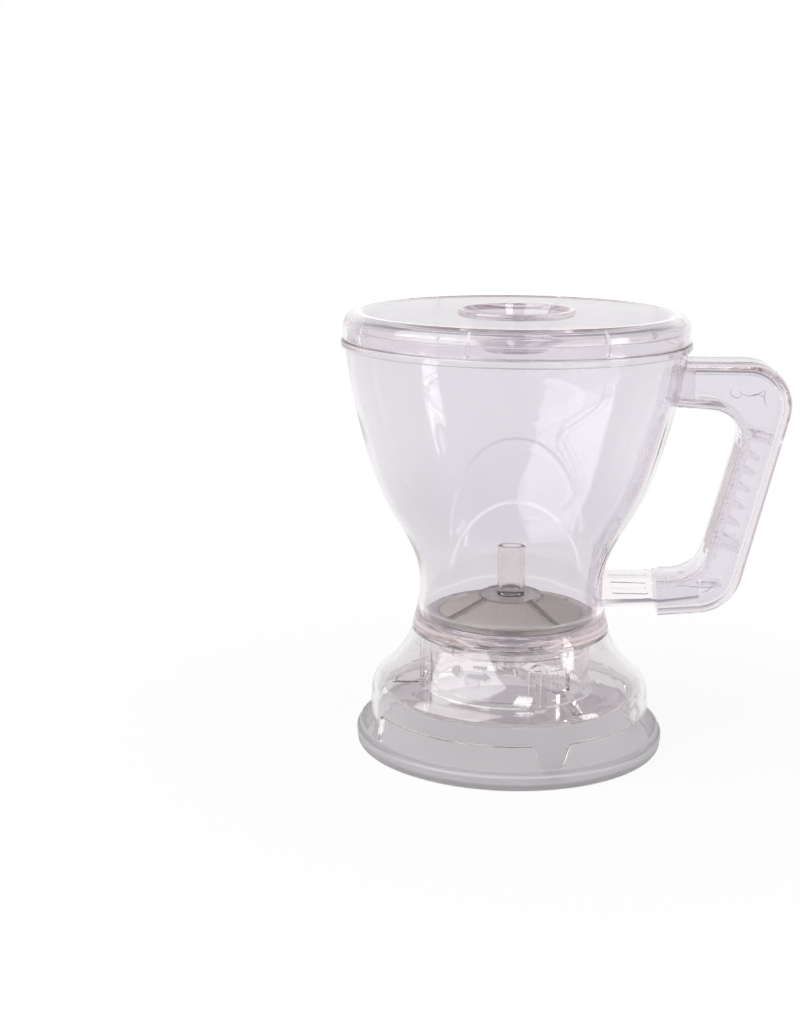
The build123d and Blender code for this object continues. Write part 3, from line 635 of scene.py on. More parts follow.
def paint_light_and_shade(
    tree: bpy.types.NodeTree, shader: bpy.types.Node, surface: str, shade: str, glow: float
) -> None:
    """Paint a shader with painted shade and a painted highlight, from the attribute of painted
    light and shade.

    Args:
        tree: the node tree.
        shader: the shader.
        surface: its colour where the attribute is 0 or more.
        shade: its colour where the attribute is -1, a painted shade.
        glow: its glow where the attribute is 1, a painted highlight.
    """
    line = add_node(tree, "ShaderNodeAttribute", attribute_name=PAINTED_LIGHT_AND_SHADE).outputs["Fac"]
    share = add_node(tree, "ShaderNodeMapRange", {"Value": line}, From_Max=-1.0).outputs["Result"]
    colours = {"Factor": share, MIX_FIRST: linear(surface), MIX_SECOND: linear(shade)}
    painted_tint = add_node(tree, "ShaderNodeMix", colours, data_type="RGBA")
    tree.links.new(painted_tint.outputs[MIX_RESULT], shader.inputs["Base Color"])
    if glow:
        lit = add_node(tree, "ShaderNodeMapRange", {"Value": line}, To_Max=glow)
        tree.links.new(lit.outputs["Result"], shader.inputs["Emission Strength"])


@dataclass(frozen=True)
class ClearPlastic:
    """Injection-moulded clear copolyester: glass-like, faintly rosy where light runs far in it.

    Along a moulded line, such as a panel's edge, the surface glows with a painted highlight where
    the attribute of painted light and shade is 1. Where it is -1 the surface's colour gives way
    to a painted shade, on such lines and over some whole faces. A piece without such painting
    leaves its painted shade colour empty.
    """

    name: str
    surface: str = "#F1EFF3"
    # The painted shade's colour, and the painted highlight's glow.
    painted_shade: str = ""
    painted_glow: float = 0.15
    depth: str = "#D2B9B6"      # what white light turns to after depth_mm of it
    depth_mm: float = 70.0
    ior: float = 1.56
    polish: tuple[float, float] = (0.0, 0.03)
    wave_mm: float = 22.0
    wave_height_mm: float = 0.02

    def build(self) -> bpy.types.Material:
        """Make the material.

        Returns:
            The material.
        """
        material, tree = new_material(self.name)
        _, relief = ripple(tree, self.wave_mm, self.wave_height_mm, self.polish)
        shader = add_node(
            tree,
            "ShaderNodeBsdfPrincipled",
            relief,
            Base_Color=linear(self.surface),
            IOR=self.ior,
            Transmission_Weight=1.0,
        )
        # Painted shade and a painted highlight, on pieces that carry them.
        if self.painted_shade:
            paint_light_and_shade(tree, shader, self.surface, self.painted_shade, self.painted_glow)
        depth = add_node(
            tree,
            "ShaderNodeVolumeAbsorption",
            Color=linear(self.depth),
            Density=1.0 / (self.depth_mm * MM),
        )
        feeds = {"Surface": shader.outputs["BSDF"], "Volume": depth.outputs["Volume"]}
        add_node(tree, "ShaderNodeOutputMaterial", feeds)
        return material


@dataclass(frozen=True)
class FrostedPlastic:
    """Moulded polypropylene or frosted copolyester: lets light through but blurs what is behind.

    Where the moulding is thicker the attribute of painted light and shade is -1 and the colour
    turns greyer, a painted shade. A piece that is even all over has no such painted shade.
    """

    name: str
    surface: str
    # colour of the painted shade where the moulding is thicker
    thick_shade: str = ""
    haze: float = 0.4
    grain_mm: float = 0.5
    grain_height_mm: float = 0.006
    ior: float = 1.49

    def build(self) -> bpy.types.Material:
        """Make the material.

        Returns:
            The material.
        """
        material, tree = new_material(self.name)
        polish = (self.haze - HAZE_PLAY, self.haze + HAZE_PLAY)
        _, relief = ripple(tree, self.grain_mm, self.grain_height_mm, polish, detail=3.0)
        shader = add_node(
            tree,
            "ShaderNodeBsdfPrincipled",
            relief,
            Base_Color=linear(self.surface),
            IOR=self.ior,
            Transmission_Weight=1.0,
        )
        # Painted shade where the moulding is thicker.
        if self.thick_shade:
            paint_light_and_shade(tree, shader, self.surface, self.thick_shade, glow=0.0)
        add_node(tree, "ShaderNodeOutputMaterial", {"Surface": shader.outputs["BSDF"]})
        return material


@dataclass(frozen=True)
class SolidPlastic:
    """Opaque moulded plastic or rubber with a fine surface grain."""

    name: str
    surface: str
    shade: str
    roughness: float = 0.4
    grain_mm: float = 0.4
    grain_height_mm: float = 0.01

    def build(self) -> bpy.types.Material:
        """Make the material.

        Returns:
            The material.
        """
        material, tree = new_material(self.name)
        polish = (self.roughness - HAZE_PLAY, self.roughness + HAZE_PLAY)
        noise, relief = ripple(tree, self.grain_mm, self.grain_height_mm, polish, detail=3.0)
        colours = {"Factor": noise, MIX_FIRST: linear(self.surface), MIX_SECOND: linear(self.shade)}
        mix = add_node(tree, "ShaderNodeMix", colours, data_type="RGBA")
        feeds = {"Base Color": mix.outputs[MIX_RESULT], **relief}
        shader = add_node(tree, "ShaderNodeBsdfPrincipled", feeds)
        add_node(tree, "ShaderNodeOutputMaterial", {"Surface": shader.outputs["BSDF"]})
        return material


@dataclass(frozen=True)
class WovenNylon:
    """Fine monofilament cloth: a hazy sheet crossed by fine threads both ways.

    Two waves, one along X and one along Y, peak at the threads; the higher of the two gives the
    colour and the relief. The real threads lie about 0.15 mm apart, too fine to show, so they are
    drawn pitch_mm apart.
    """

    name: str
    thread: str
    gap: str
    pitch_mm: float = 0.6
    relief_mm: float = 0.06
    roughness: float = 0.5
    bands: float = 20 / math.tau        # waves along one unit of a wave texture of scale 1

    def build(self) -> bpy.types.Material:
        """Make the material.

        Returns:
            The material.
        """
        material, tree = new_material(self.name)
        place = add_node(tree, "ShaderNodeTexCoord")
        waves = []
        for direction in ("X", "Y"):
            wave = add_node(
                tree,
                "ShaderNodeTexWave",
                {"Vector": place.outputs["Object"]},
                bands_direction=direction,
                Scale=1.0 / self.bands / (self.pitch_mm * MM),
            )
            waves.append(wave.outputs["Fac"])
        weave = add_node(tree, "ShaderNodeMath", dict(enumerate(waves)), operation="MAXIMUM")
        height = weave.outputs[0]
        colours = {"Factor": height, MIX_FIRST: linear(self.gap), MIX_SECOND: linear(self.thread)}
        mix = add_node(tree, "ShaderNodeMix", colours, data_type="RGBA")
        bump = add_node(
            tree, "ShaderNodeBump", {"Height": height}, Strength=1.0, Distance=self.relief_mm * MM
        )
        shader = add_node(
            tree,
            "ShaderNodeBsdfPrincipled",
            {"Base Color": mix.outputs[MIX_RESULT], "Normal": bump.outputs["Normal"]},
            Roughness=self.roughness,
        )
        add_node(tree, "ShaderNodeOutputMaterial", {"Surface": shader.outputs["BSDF"]})
        return material


Finish = ClearPlastic | FrostedPlastic | SolidPlastic | WovenNylon

FINISHES = {
    # Glass-clear and glossy, with a rosy tint where light runs far in it.
    Slot.CLEAR: ClearPlastic("clear_copolyester"),
    # The same plastic, a little paler and softer in its reflections.
    Slot.HANDLE: ClearPlastic("clear_copolyester_handle", depth="#E6D8D8", polish=(0.02, 0.06)),
    # Milky: what stands on it shows through as a blur. Its thicker lip is painted greyer than its
    # floor, a painted shade.
    Slot.FROSTED: FrostedPlastic("frosted_polypropylene", "#F2EFF2", thick_shade="#E6E2E6"),
    # Opaque print with a dull, faintly uneven surface.
    Slot.MARK: SolidPlastic("grey_pad_print", "#ADA8AE", "#B8B4B9", roughness=0.5),
    # Soft and half clear, with a satin surface that blurs its reflections.
    Slot.GRIP: ClearPlastic("rose_tinted_elastomer", "#F3E4EA", polish=(0.2, 0.3)),
    # Smoky and half clear, which makes the ribs show as bands over the cloth.
    Slot.FILTER: FrostedPlastic("grey_tinted_filter", "#E9E1DB", haze=0.2),
    # A warm grey cloth without shine, whose crossing threads show only close by.
    Slot.MESH: WovenNylon("woven_nylon_mesh", "#FFF6EA", "#CDBDAD"),
    # Paler than the filter round it. It bends light less than the plastic would, because so small
    # a tube would otherwise show as two dark bars.
    Slot.POST: FrostedPlastic("frosted_post", "#FFFCFA", haze=0.2, ior=1.25),
    # Opaque and matte, like soft rubber.
    Slot.SILICONE: SolidPlastic("pale_silicone_rubber", "#DAD6D5", "#D0CCCB", roughness=0.55),
    # White and waxy, with light passing through it.
    Slot.STEM: FrostedPlastic("translucent_white_acetal", "#F7F5F7", haze=0.25),
}
# The bowl's, the lid's and the bell's walls carry painted highlights and painted shade, along
# moulded lines and over some faces; the colour below is that painted shade. The bell is greyer
# than the rosy bowl, and the lid clearer than both.
PAINTED_SHADE = "#C6C3C9"
BOWL_PLASTIC = ClearPlastic("clear_copolyester_bowl", painted_shade=PAINTED_SHADE)
LID_PLASTIC = ClearPlastic("clear_copolyester_lid", "#F5F2F5", PAINTED_SHADE, depth="#E4D8D8")
BASE_PLASTIC = ClearPlastic("clear_copolyester_base", "#FFFDFD", PAINTED_SHADE, depth="#CBC3C0")
# Inside another clear piece, the push plate, the handle's frame and the weld's beads show only as
# faint outlines. The first two bend light less than the plastic would, which keeps them faint.
PLATE_PLASTIC = ClearPlastic("clear_copolyester_plate", "#F8F6F6", depth="#E6DCDB", ior=1.38)
FRAME_PLASTIC = ClearPlastic("clear_copolyester_frame", "#FBF9FB", depth="#F0E8E8", ior=1.25)
# The weld's beads are coloured all over with the painted shade, so that they show darker.
WELD_PLASTIC = ClearPlastic(
    "clear_copolyester_weld", PAINTED_SHADE, depth="#E6D8D8", polish=(0.02, 0.06)
)


@dataclass
class Workshop:
    """Makes pieces, dresses them and seats them on the frame's bodies."""

    materials: dict[str, bpy.types.Material] = field(default_factory=dict)

    def material(self, slot: Slot, finish: Finish | None) -> bpy.types.Material:
        """The material of a finish, built once.

        Args:
            slot: the material slot.
            finish: the finish, or None for the slot's usual one.

        Returns:
            The material.
        """
        chosen = finish or FINISHES[slot]
        if chosen.name not in self.materials:
            self.materials[chosen.name] = chosen.build()
        return self.materials[chosen.name]

    def piece(
        self,
        mesh: bpy.types.Mesh,
        body: Body,
        slot: Slot,
        stands_for: Sequence[str] = (),
        finish: Finish | None = None,
    ) -> bpy.types.Object:
        """Add a mesh as a piece of the object.

        Args:
            mesh: its mesh, in place, in metres; its name becomes the piece's.
            body: the body that it rides on.
            slot: its material slot.
            stands_for: CAD nodes that it replaces.
            finish: its finish, where it isn't the slot's usual one.

        Returns:
            The piece.
        """
        thing = bpy.data.objects.new(mesh.name, mesh)
        bpy.context.scene.collection.objects.link(thing)
        mesh.materials.append(self.material(slot, finish))
        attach(thing, body.value)
        if stands_for:
            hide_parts(*stands_for)
        log.info("%s: %d faces on %s", mesh.name, len(mesh.polygons), body.value)
        return thing

    def dress(self, node: str, slot: Slot, finish: Finish | None = None) -> bpy.types.Object:
        """Keep a CAD node and give it a slot's material.

        Args:
            node: the CAD node.
            slot: its material slot.
            finish: its finish, where it isn't the slot's usual one.

        Returns:
            The node's object.
        """
        thing = frame["nodes"][node]
        for holder in thing.material_slots:
            holder.material = self.material(slot, finish)
        log.info("%s: CAD node, %s", node, slot.value)
        return thing


# ---------------------------------------------------------------------- the object's assemblies


@dataclass
class Coaster:
    """Shallow frosted drip dish with a raised ring inside its lip."""

    shop: Workshop
    radius: float = 56.6
    draft: float = 0.5
    shelf_height: float = 5.6
    shelf: float = 1.1
    ring: float = 1.2
    height: float = 7.4
    floor: float = 1.8
    slope_foot: float = 52.5
    shade_from: float = 0.4     # above the floor, where the painted shade of the thicker moulding starts
    columns: int = 224

    def build(self) -> None:
        """Make the dish."""
        ring_outer = self.radius - self.shelf
        section = rounded(
            [  # (r, z, fillet radius), from the underside's middle to the floor's
                (0.0, 0.0, 0.0),
                (self.radius - self.draft, 0.0, 1.6),
                (self.radius, self.shelf_height, 0.7),
                (ring_outer, self.shelf_height, 0.25),
                (ring_outer, self.height, 0.45),
                (ring_outer - self.ring, self.height, 0.45),
                (self.slope_foot, self.floor, 0.6),
                (0.0, self.floor, 0.0),
            ],
            steps=6,
        )
        points = lathe(section, even_turns(self.columns))
        cells = grid_cells(self.columns, len(section), closed_rows=False)
        radius, height = section.T
        # Painted shade on the lip, its ring and the outer wall, which are thicker than the floor.
        thick_shade = (height > self.floor + self.shade_from) | (radius > ring_outer)
        mesh = mesh_of("coaster_dish", points, cells, lines=np.where(thick_shade, -1.0, 0.0))
        self.shop.piece(mesh, Body.COASTER, Slot.FROSTED, ["coaster"])


@dataclass
class Vessel:
    """Waisted clear bowl with flange, collar, floor, outlet, spigot and arch-shaped panels."""

    shop: Workshop
    joint_height: float = 44.5
    joint_radius: float = 36.1
    stations: tuple[tuple[float, float], ...] = (
        (33.5, 58.0),
        (35.1, 70.0),
        (45.8, 90.3),
        (54.0, 112.5),
        (59.2, 135.0),
        (61.0, 147.2),
    )
    wall: float = 2.4
    rim_wall: float = 3.3
    floor_height: float = 47.0
    floor_bend: tuple[float, float] = (0.4, 2.0)    # the wall's inside turns to it in this space
    flange_radius: float = 62.38
    flange_thickness: float = 2.6
    collar_height: float = 4.2
    collar_wall: float = 1.5
    sump_radius: float = 13.0
    sump_wall: float = 2.0
    sump_height: float = 43.8
    sump_underside: float = 41.8
    drain_radius: float = 6.5
    spout_radius: float = 10.0
    spout_bore: float = 7.6
    spout_bottom: float = 36.0
    spigot_radius: float = 27.0
    spigot_wall: float = 2.0
    spigot_bottom: float = 37.5
    joint_bevel: float = 0.3
    ring_rib_radius: float = 30.3
    ring_rib: tuple[float, float] = (1.0, 0.9)      # its width and height
    lug_turns: tuple[float, ...] = (75.0, 165.0, 255.0, 345.0)
    lug_width: float = 6.0
    lug_slant: float = 0.5      # degrees over which a lug's side rises
    lug_bottom: float = 37.9
    lug_height: float = 2.5
    lug_reach: float = 1.5
    arch_shift: float = 1.4
    arch_tops: tuple[float, float] = (101.0, 104.0)     # front, back
    arch_springs: tuple[float, float] = (65.0, 73.0)
    arch_half_widths: tuple[float, float] = (23.0, 25.8)
    arch_depth: float = 0.6
    arch_fade: tuple[float, float] = (66.0, 84.0)
    arch_softness: float = 1.8
    # Painted shade over the lower bowl, strongest a little above the waist:
    shade_foot: tuple[float, float] = (60.0, 72.0)       # sets in over these heights
    shade_top: tuple[float, float] = (112.0, 78.0)       # and fades out from the second height up to the first
    shade_share: float = 0.32
    ring_heights: tuple[float, ...] = (44.9, 46.6, 52.4)        # moulded lines round the waist, shown by a painted highlight
    ring_width: float = 0.75
    # strength of the rings' painted highlight
    ring_glow: float = 1.2
    outer_rows: int = 148
    panel_rows: tuple[float, float] = (0.2, 0.86)       # rows from the panels' foot to their top
    panel_shares: tuple[float, float] = (0.17, 0.6)     # and where that lies along the outline
    inner_rows: int = 38
    panel_span: tuple[float, float, int] = (-23.0, 23.0, 49)    # first and last turn, and columns
    flank_span: tuple[float, float, int] = (24.0, 44.0, 38)
    side_span: tuple[float, float, int] = (46.5, 133.5, 20)

    @property
    def lug_half(self) -> float:
        """Half a lug's width as a turn."""
        return math.degrees(self.lug_width / 2 / self.spigot_radius)

    def columns(self) -> np.ndarray:
        """Turns of the grid's columns: close at the panels' sides and at the lugs' sides.

        Returns:
            The turns, in order.
        """
        flank, side = np.linspace(*self.flank_span), np.linspace(*self.side_span)
        front = np.concatenate([-flank[::-1], np.linspace(*self.panel_span), flank])
        lugs = edges_of(self.lug_turns, self.lug_half, self.lug_slant)
        return merged_turns(front, side, front + 180.0, side + 180.0, lugs)

    def arch_cut(
        self, radius: np.ndarray, height: np.ndarray, turns: np.ndarray
    ) -> tuple[np.ndarray, np.ndarray]:
        """Depth of the arch-shaped panels at points of the bowl, and painted light and shade along
        their edge.

        The depth is arch_depth times a smooth step of the distance inside the panel's outline,
        times a fade that lets the panel run out towards the foot. The outline is half an ellipse
        above the spring line and two upright lines below it, seen from the front or the back. The
        distance to the ellipse is taken as (1 - q) / |gradient of q|, where q is the length of
        the place scaled to a unit circle.

        Args:
            radius: (rows,) radius of the bowl.
            height: (rows,) height.
            turns: (columns,) turns.

        Returns:
            (columns, rows) depth in millimetres, and the painted line along the outline: 1 at
            the middle of a painted highlight, -1 at that of a painted shade, as at the back panel's
            top.
        """
        angle = np.radians(turns)[:, None]
        sideways = np.abs(radius * np.sin(angle) - self.arch_shift)
        in_front = np.cos(angle) > 0
        top = np.where(in_front, *self.arch_tops)
        spring = np.where(in_front, *self.arch_springs)
        half_width = np.where(in_front, *self.arch_half_widths)
        across = sideways / half_width
        up = np.maximum(height - spring, 0.0) / (top - spring)
        length = np.maximum(np.hypot(across, up), TINY)
        steepness = np.hypot(across / half_width, up / (top - spring)) / length
        inside = (1.0 - length) / np.maximum(steepness, TINY)
        fade = smooth_step(height, self.arch_fade)
        step = smooth_step(inside / self.arch_softness + 0.5)
        # Painted highlight along the front arch; on the back arch a painted highlight on its flanks
        # turns to painted shade at its top.
        sign = np.where(in_front, 1.0, 1.0 - 2.0 * up)
        return self.arch_depth * fade * step, 4 * fade * step * (1 - step) * sign

    def section(self) -> tuple[np.ndarray, slice]:
        """The closed section, and which of its rows are a lug's.

        Returns:
            The section's (r, z) points with the outside of the bowl first, and the lug's rows.
        """
        outline = [(self.joint_radius, self.joint_height), *self.stations]
        even = np.linspace(0.0, 1.0, self.outer_rows)
        shares = np.interp(even, (0.0, *self.panel_rows, 1.0), (0.0, *self.panel_shares, 1.0))
        outside = spline(outline, shares)
        rim_radius, rim_height = self.stations[-1]
        collar_inner = rim_radius - self.rim_wall
        collar_outer = collar_inner + self.collar_wall
        flange_top = rim_height + self.flange_thickness
        collar_top = flange_top + self.collar_height
        inside = spline(
            [(radius - self.wall, height) for radius, height in outline[:-1]]
            + [(collar_inner, rim_height)],
            np.linspace(0.0, 1.0, self.inner_rows),
        )[::-1]
        bend_run, bend_rise = self.floor_bend
        inside = inside[inside[:, 1] > self.floor_height + bend_rise]
        rim = rounded(
            [  # (r, z, fillet radius), out to the flange and over the collar
                (*outside[-1], 0.0),
                (self.flange_radius, rim_height, 0.6),
                (self.flange_radius, flange_top, 0.6),
                (collar_outer, flange_top, 0.2),
                (collar_outer, collar_top, 0.4),
                (collar_inner, collar_top, 0.4),
                (*inside[0], 0.0),
            ]
        )
        ring, ring_outer = self.ring_rib_radius, self.ring_rib_radius + self.ring_rib[0]
        ring_top = self.floor_height + self.ring_rib[1]
        sump_outer = self.sump_radius + self.sump_wall
        inner_spigot = self.spigot_radius - self.spigot_wall
        floor = rounded(
            [  # inwards over the floor, through the drain, and outwards below to the spigot
                (*inside[-1], 0.0),
                (inside[-1][0] + bend_run, self.floor_height, 1.5),
                (ring_outer, self.floor_height, 0.2),
                (ring_outer, ring_top, 0.3),
                (ring, ring_top, 0.3),
                (ring, self.floor_height, 0.2),
                (self.sump_radius, self.floor_height, 0.6),
                (self.sump_radius, self.sump_height, 0.6),
                (self.drain_radius, self.sump_height, 0.4),
                (self.drain_radius, self.sump_underside, 0.2),
                (self.spout_bore, self.sump_underside, 0.2),
                (self.spout_bore, self.spout_bottom, 0.4),
                (self.spout_radius, self.spout_bottom, 0.4),
                (self.spout_radius, self.sump_underside, 0.3),
                (sump_outer, self.sump_underside, 0.5),
                (sump_outer, self.joint_height, 0.3),
                (inner_spigot, self.joint_height, 0.3),
                (inner_spigot, self.spigot_bottom, 0.3),
                (self.spigot_radius, self.spigot_bottom, 0.3),
                (self.spigot_radius, self.lug_bottom, 0.0),
            ],
            steps=3,
        )
        lug_top = self.lug_bottom + self.lug_height
        lug_ends = (self.lug_bottom, self.lug_bottom, lug_top, lug_top)
        lug = np.array([(self.spigot_radius, height) for height in lug_ends])
        closing = rounded(
            [
                (self.spigot_radius, lug_top, 0.0),
                (self.spigot_radius, self.joint_height, 0.3),
                (self.joint_radius - self.joint_bevel, self.joint_height, 0.0),
            ]
        )
        before = [outside, rim[1:-1], inside, floor[1:-1]]
        start = sum(map(len, before))
        return np.concatenate([*before, lug, closing[1:]]), slice(start + 1, start + 3)

    def build(self) -> None:
        """Make the bowl."""
        turns = self.columns()
        section, lug_rows = self.section()
        sections = np.repeat(section[None], len(turns), axis=0)
        rows = slice(0, self.outer_rows)
        radius, height = section[rows].T
        cut, edge = self.arch_cut(radius, height, turns)
        sections[:, rows, 0] -= cut
        # Painted light and shade on the outside: a painted highlight or shade along the arches'
        # edges, painted shade over the lower bowl, and painted highlights along the rings round the
        # waist.
        painted_tint = smooth_step(height, self.shade_foot) * smooth_step(height, self.shade_top)
        to_ring = np.abs(height[:, None] - np.array(self.ring_heights)) / self.ring_width
        rings = np.clip(1 - to_ring, 0.0, 1.0).sum(axis=1)
        lines = np.zeros(sections.shape[:2])
        lines[:, rows] = edge - self.shade_share * painted_tint * (1 - np.abs(edge)) + self.ring_glow * rings
        on_lug = within(turns, self.lug_turns, -self.lug_half, self.lug_half)
        sections[on_lug, lug_rows, 0] += self.lug_reach
        cells = grid_cells(len(turns), len(section), closed_rows=True)
        mesh = mesh_of("clear_bowl", lathe(sections, turns), cells, lines=lines)
        self.shop.piece(mesh, Body.BREWER, Slot.CLEAR, ["vessel"], BOWL_PLASTIC)


@dataclass
class Lid:
    """Clear lid with a finger recess and upright ribs inside its skirt."""

    shop: Workshop
    radius: float = 61.3
    skirt_radius: float = 61.9
    bottom: float = 150.0
    top: float = 159.6
    wall: float = 1.5
    deck: float = 2.0
    edge: float = 4.6
    ridge: float = 0.4
    ridge_radius: float = 55.4
    ridge_slope: float = 1.0
    ridge_line: tuple[float, float] = (0.5, 1.6)    # how far in and out its painted highlight reaches
    ridge_glow: float = 0.5     # how much of the line glow, a painted highlight, the ridge has
    draft: float = 0.05
    skirt_hold: float = 0.8
    ceiling_hold: float = 0.3
    rib_turns: tuple[float, ...] = tuple(-15.0 + 45.0 * place for place in range(8))
    rib_width: float = 1.0
    rib_slant: float = 0.12     # degrees over which a rib's side rises
    rib_radii: tuple[float, float] = (59.5, 57.9)       # below and above the step
    rib_step: float = 154.2
    recess_radius: float = 19.4
    recess_floor_radius: float = 10.4
    recess_depth: float = 12.5
    recess_wall: float = 1.8
    lip: float = 0.7
    lip_width: float = 1.3
    lip_slope: float = 0.4
    deck_margin: float = 1.6    # between the flat deck and the lip or the ridge
    shade_margin: float = 1.5    # and just outside it, where the deck's painted shade ends
    deck_shade: float = 0.9      # how much of the painted shade the flat deck has
    recess_shade: float = 0.3    # and the finger recess, also painted shade
    columns: int = 240

    def section(self) -> tuple[np.ndarray, int]:
        """The section, from the recess over the deck and the skirt to the underside's middle.

        Returns:
            The section's (r, z) points, and the first row inside the skirt.
        """
        recess_floor, plateau = self.top - self.recess_depth, self.top - self.ridge
        underside, inner_edge = self.top - self.deck, self.edge - self.wall
        lip_radius, lip_top = self.recess_radius + self.lip_width, self.top + self.lip
        skirt_inner, skirt_start = self.skirt_radius - self.wall, self.bottom + self.skirt_hold
        upper = rounded(
            [  # (r, z, fillet radius)
                (0.0, recess_floor, 0.0),
                (self.recess_floor_radius, recess_floor, 0.9),
                (self.recess_radius, lip_top, 0.5),
                (lip_radius, lip_top, 0.5),
                (lip_radius + self.lip_slope, plateau, 0.4),
                (lip_radius + self.deck_margin, plateau, 0.0),
                (self.ridge_radius - self.deck_margin, plateau, 0.0),
                (self.ridge_radius, plateau, 0.8),
                (self.ridge_radius + self.ridge_slope, self.top, 0.8),
                (self.radius, self.top, self.edge),
                (self.skirt_radius, self.bottom, 0.4),
                (skirt_inner, self.bottom, 0.4),
                (skirt_inner - self.draft, skirt_start, 0.0),
            ],
            steps=8,
        )
        heights = np.array([skirt_start, self.rib_step, self.rib_step, underside - inner_edge])
        slope = (self.radius - self.skirt_radius) / (self.top - self.bottom)
        plain = skirt_inner + slope * (heights - self.bottom)
        below = recess_floor - self.recess_wall
        lower = rounded(
            [
                (plain[-1], heights[-1] - self.ceiling_hold, 0.0),
                (plain[-1] - self.draft, underside, inner_edge),
                (self.recess_radius + self.recess_wall, underside, 0.9),
                (self.recess_floor_radius + self.recess_wall / 2, below, 0.9),
                (0.0, below, 0.0),
            ],
            steps=8,
        )
        parts = [upper[:-1], np.stack([plain, heights], axis=1), lower[2:]]
        return np.concatenate(parts), len(upper) - 1

    def lines(self, section: np.ndarray, first: int) -> np.ndarray:
        """Painted light and shade at each row: painted shade on the deck and in the recess, a
        painted highlight on the ridge.

        Args:
            section: the section.
            first: its first row inside the skirt.

        Returns:
            A value for each row.
        """
        radius = section[:, 0]
        outside = np.arange(len(section)) < first
        on_top = outside & (section[:, 1] > self.top - self.deck / 2)
        flat_start = self.recess_radius + self.lip_width + self.shade_margin
        flat = (radius > flat_start) & (radius < self.ridge_radius - self.shade_margin)
        inwards, outwards = self.ridge_line
        ridge = (radius > self.ridge_radius - inwards) & (radius < self.ridge_radius + outwards)
        line = np.where(on_top & flat, -self.deck_shade, 0.0)
        line += np.where(on_top & ridge, self.ridge_glow, 0.0)
        return line - np.where(outside & (radius < self.recess_radius), self.recess_shade, 0.0)

    def build(self) -> None:
        """Make the lid: one section round the axis, with another section at the ribs."""
        section, first = self.section()
        half = math.degrees(self.rib_width / 2 / self.radius)
        rib_edges = edges_of(self.rib_turns, half, self.rib_slant)
        turns = merged_turns(even_turns(self.columns), rib_edges)
        sections = np.repeat(section[None], len(turns), axis=0)
        on_rib = within(turns, self.rib_turns, -half, half)
        reach = np.full(len(section) - first, self.rib_radii[1])
        reach[:2] = self.rib_radii[0]
        sections[on_rib, first:, 0] = np.minimum(section[first:, 0], reach)
        cells = grid_cells(len(turns), len(section), closed_rows=False)
        lines = self.lines(section, first)
        mesh = mesh_of("clear_lid", lathe(sections, turns), cells, lines=lines)
        self.shop.piece(mesh, Body.LID, Slot.CLEAR, ["lid"], LID_PLASTIC)


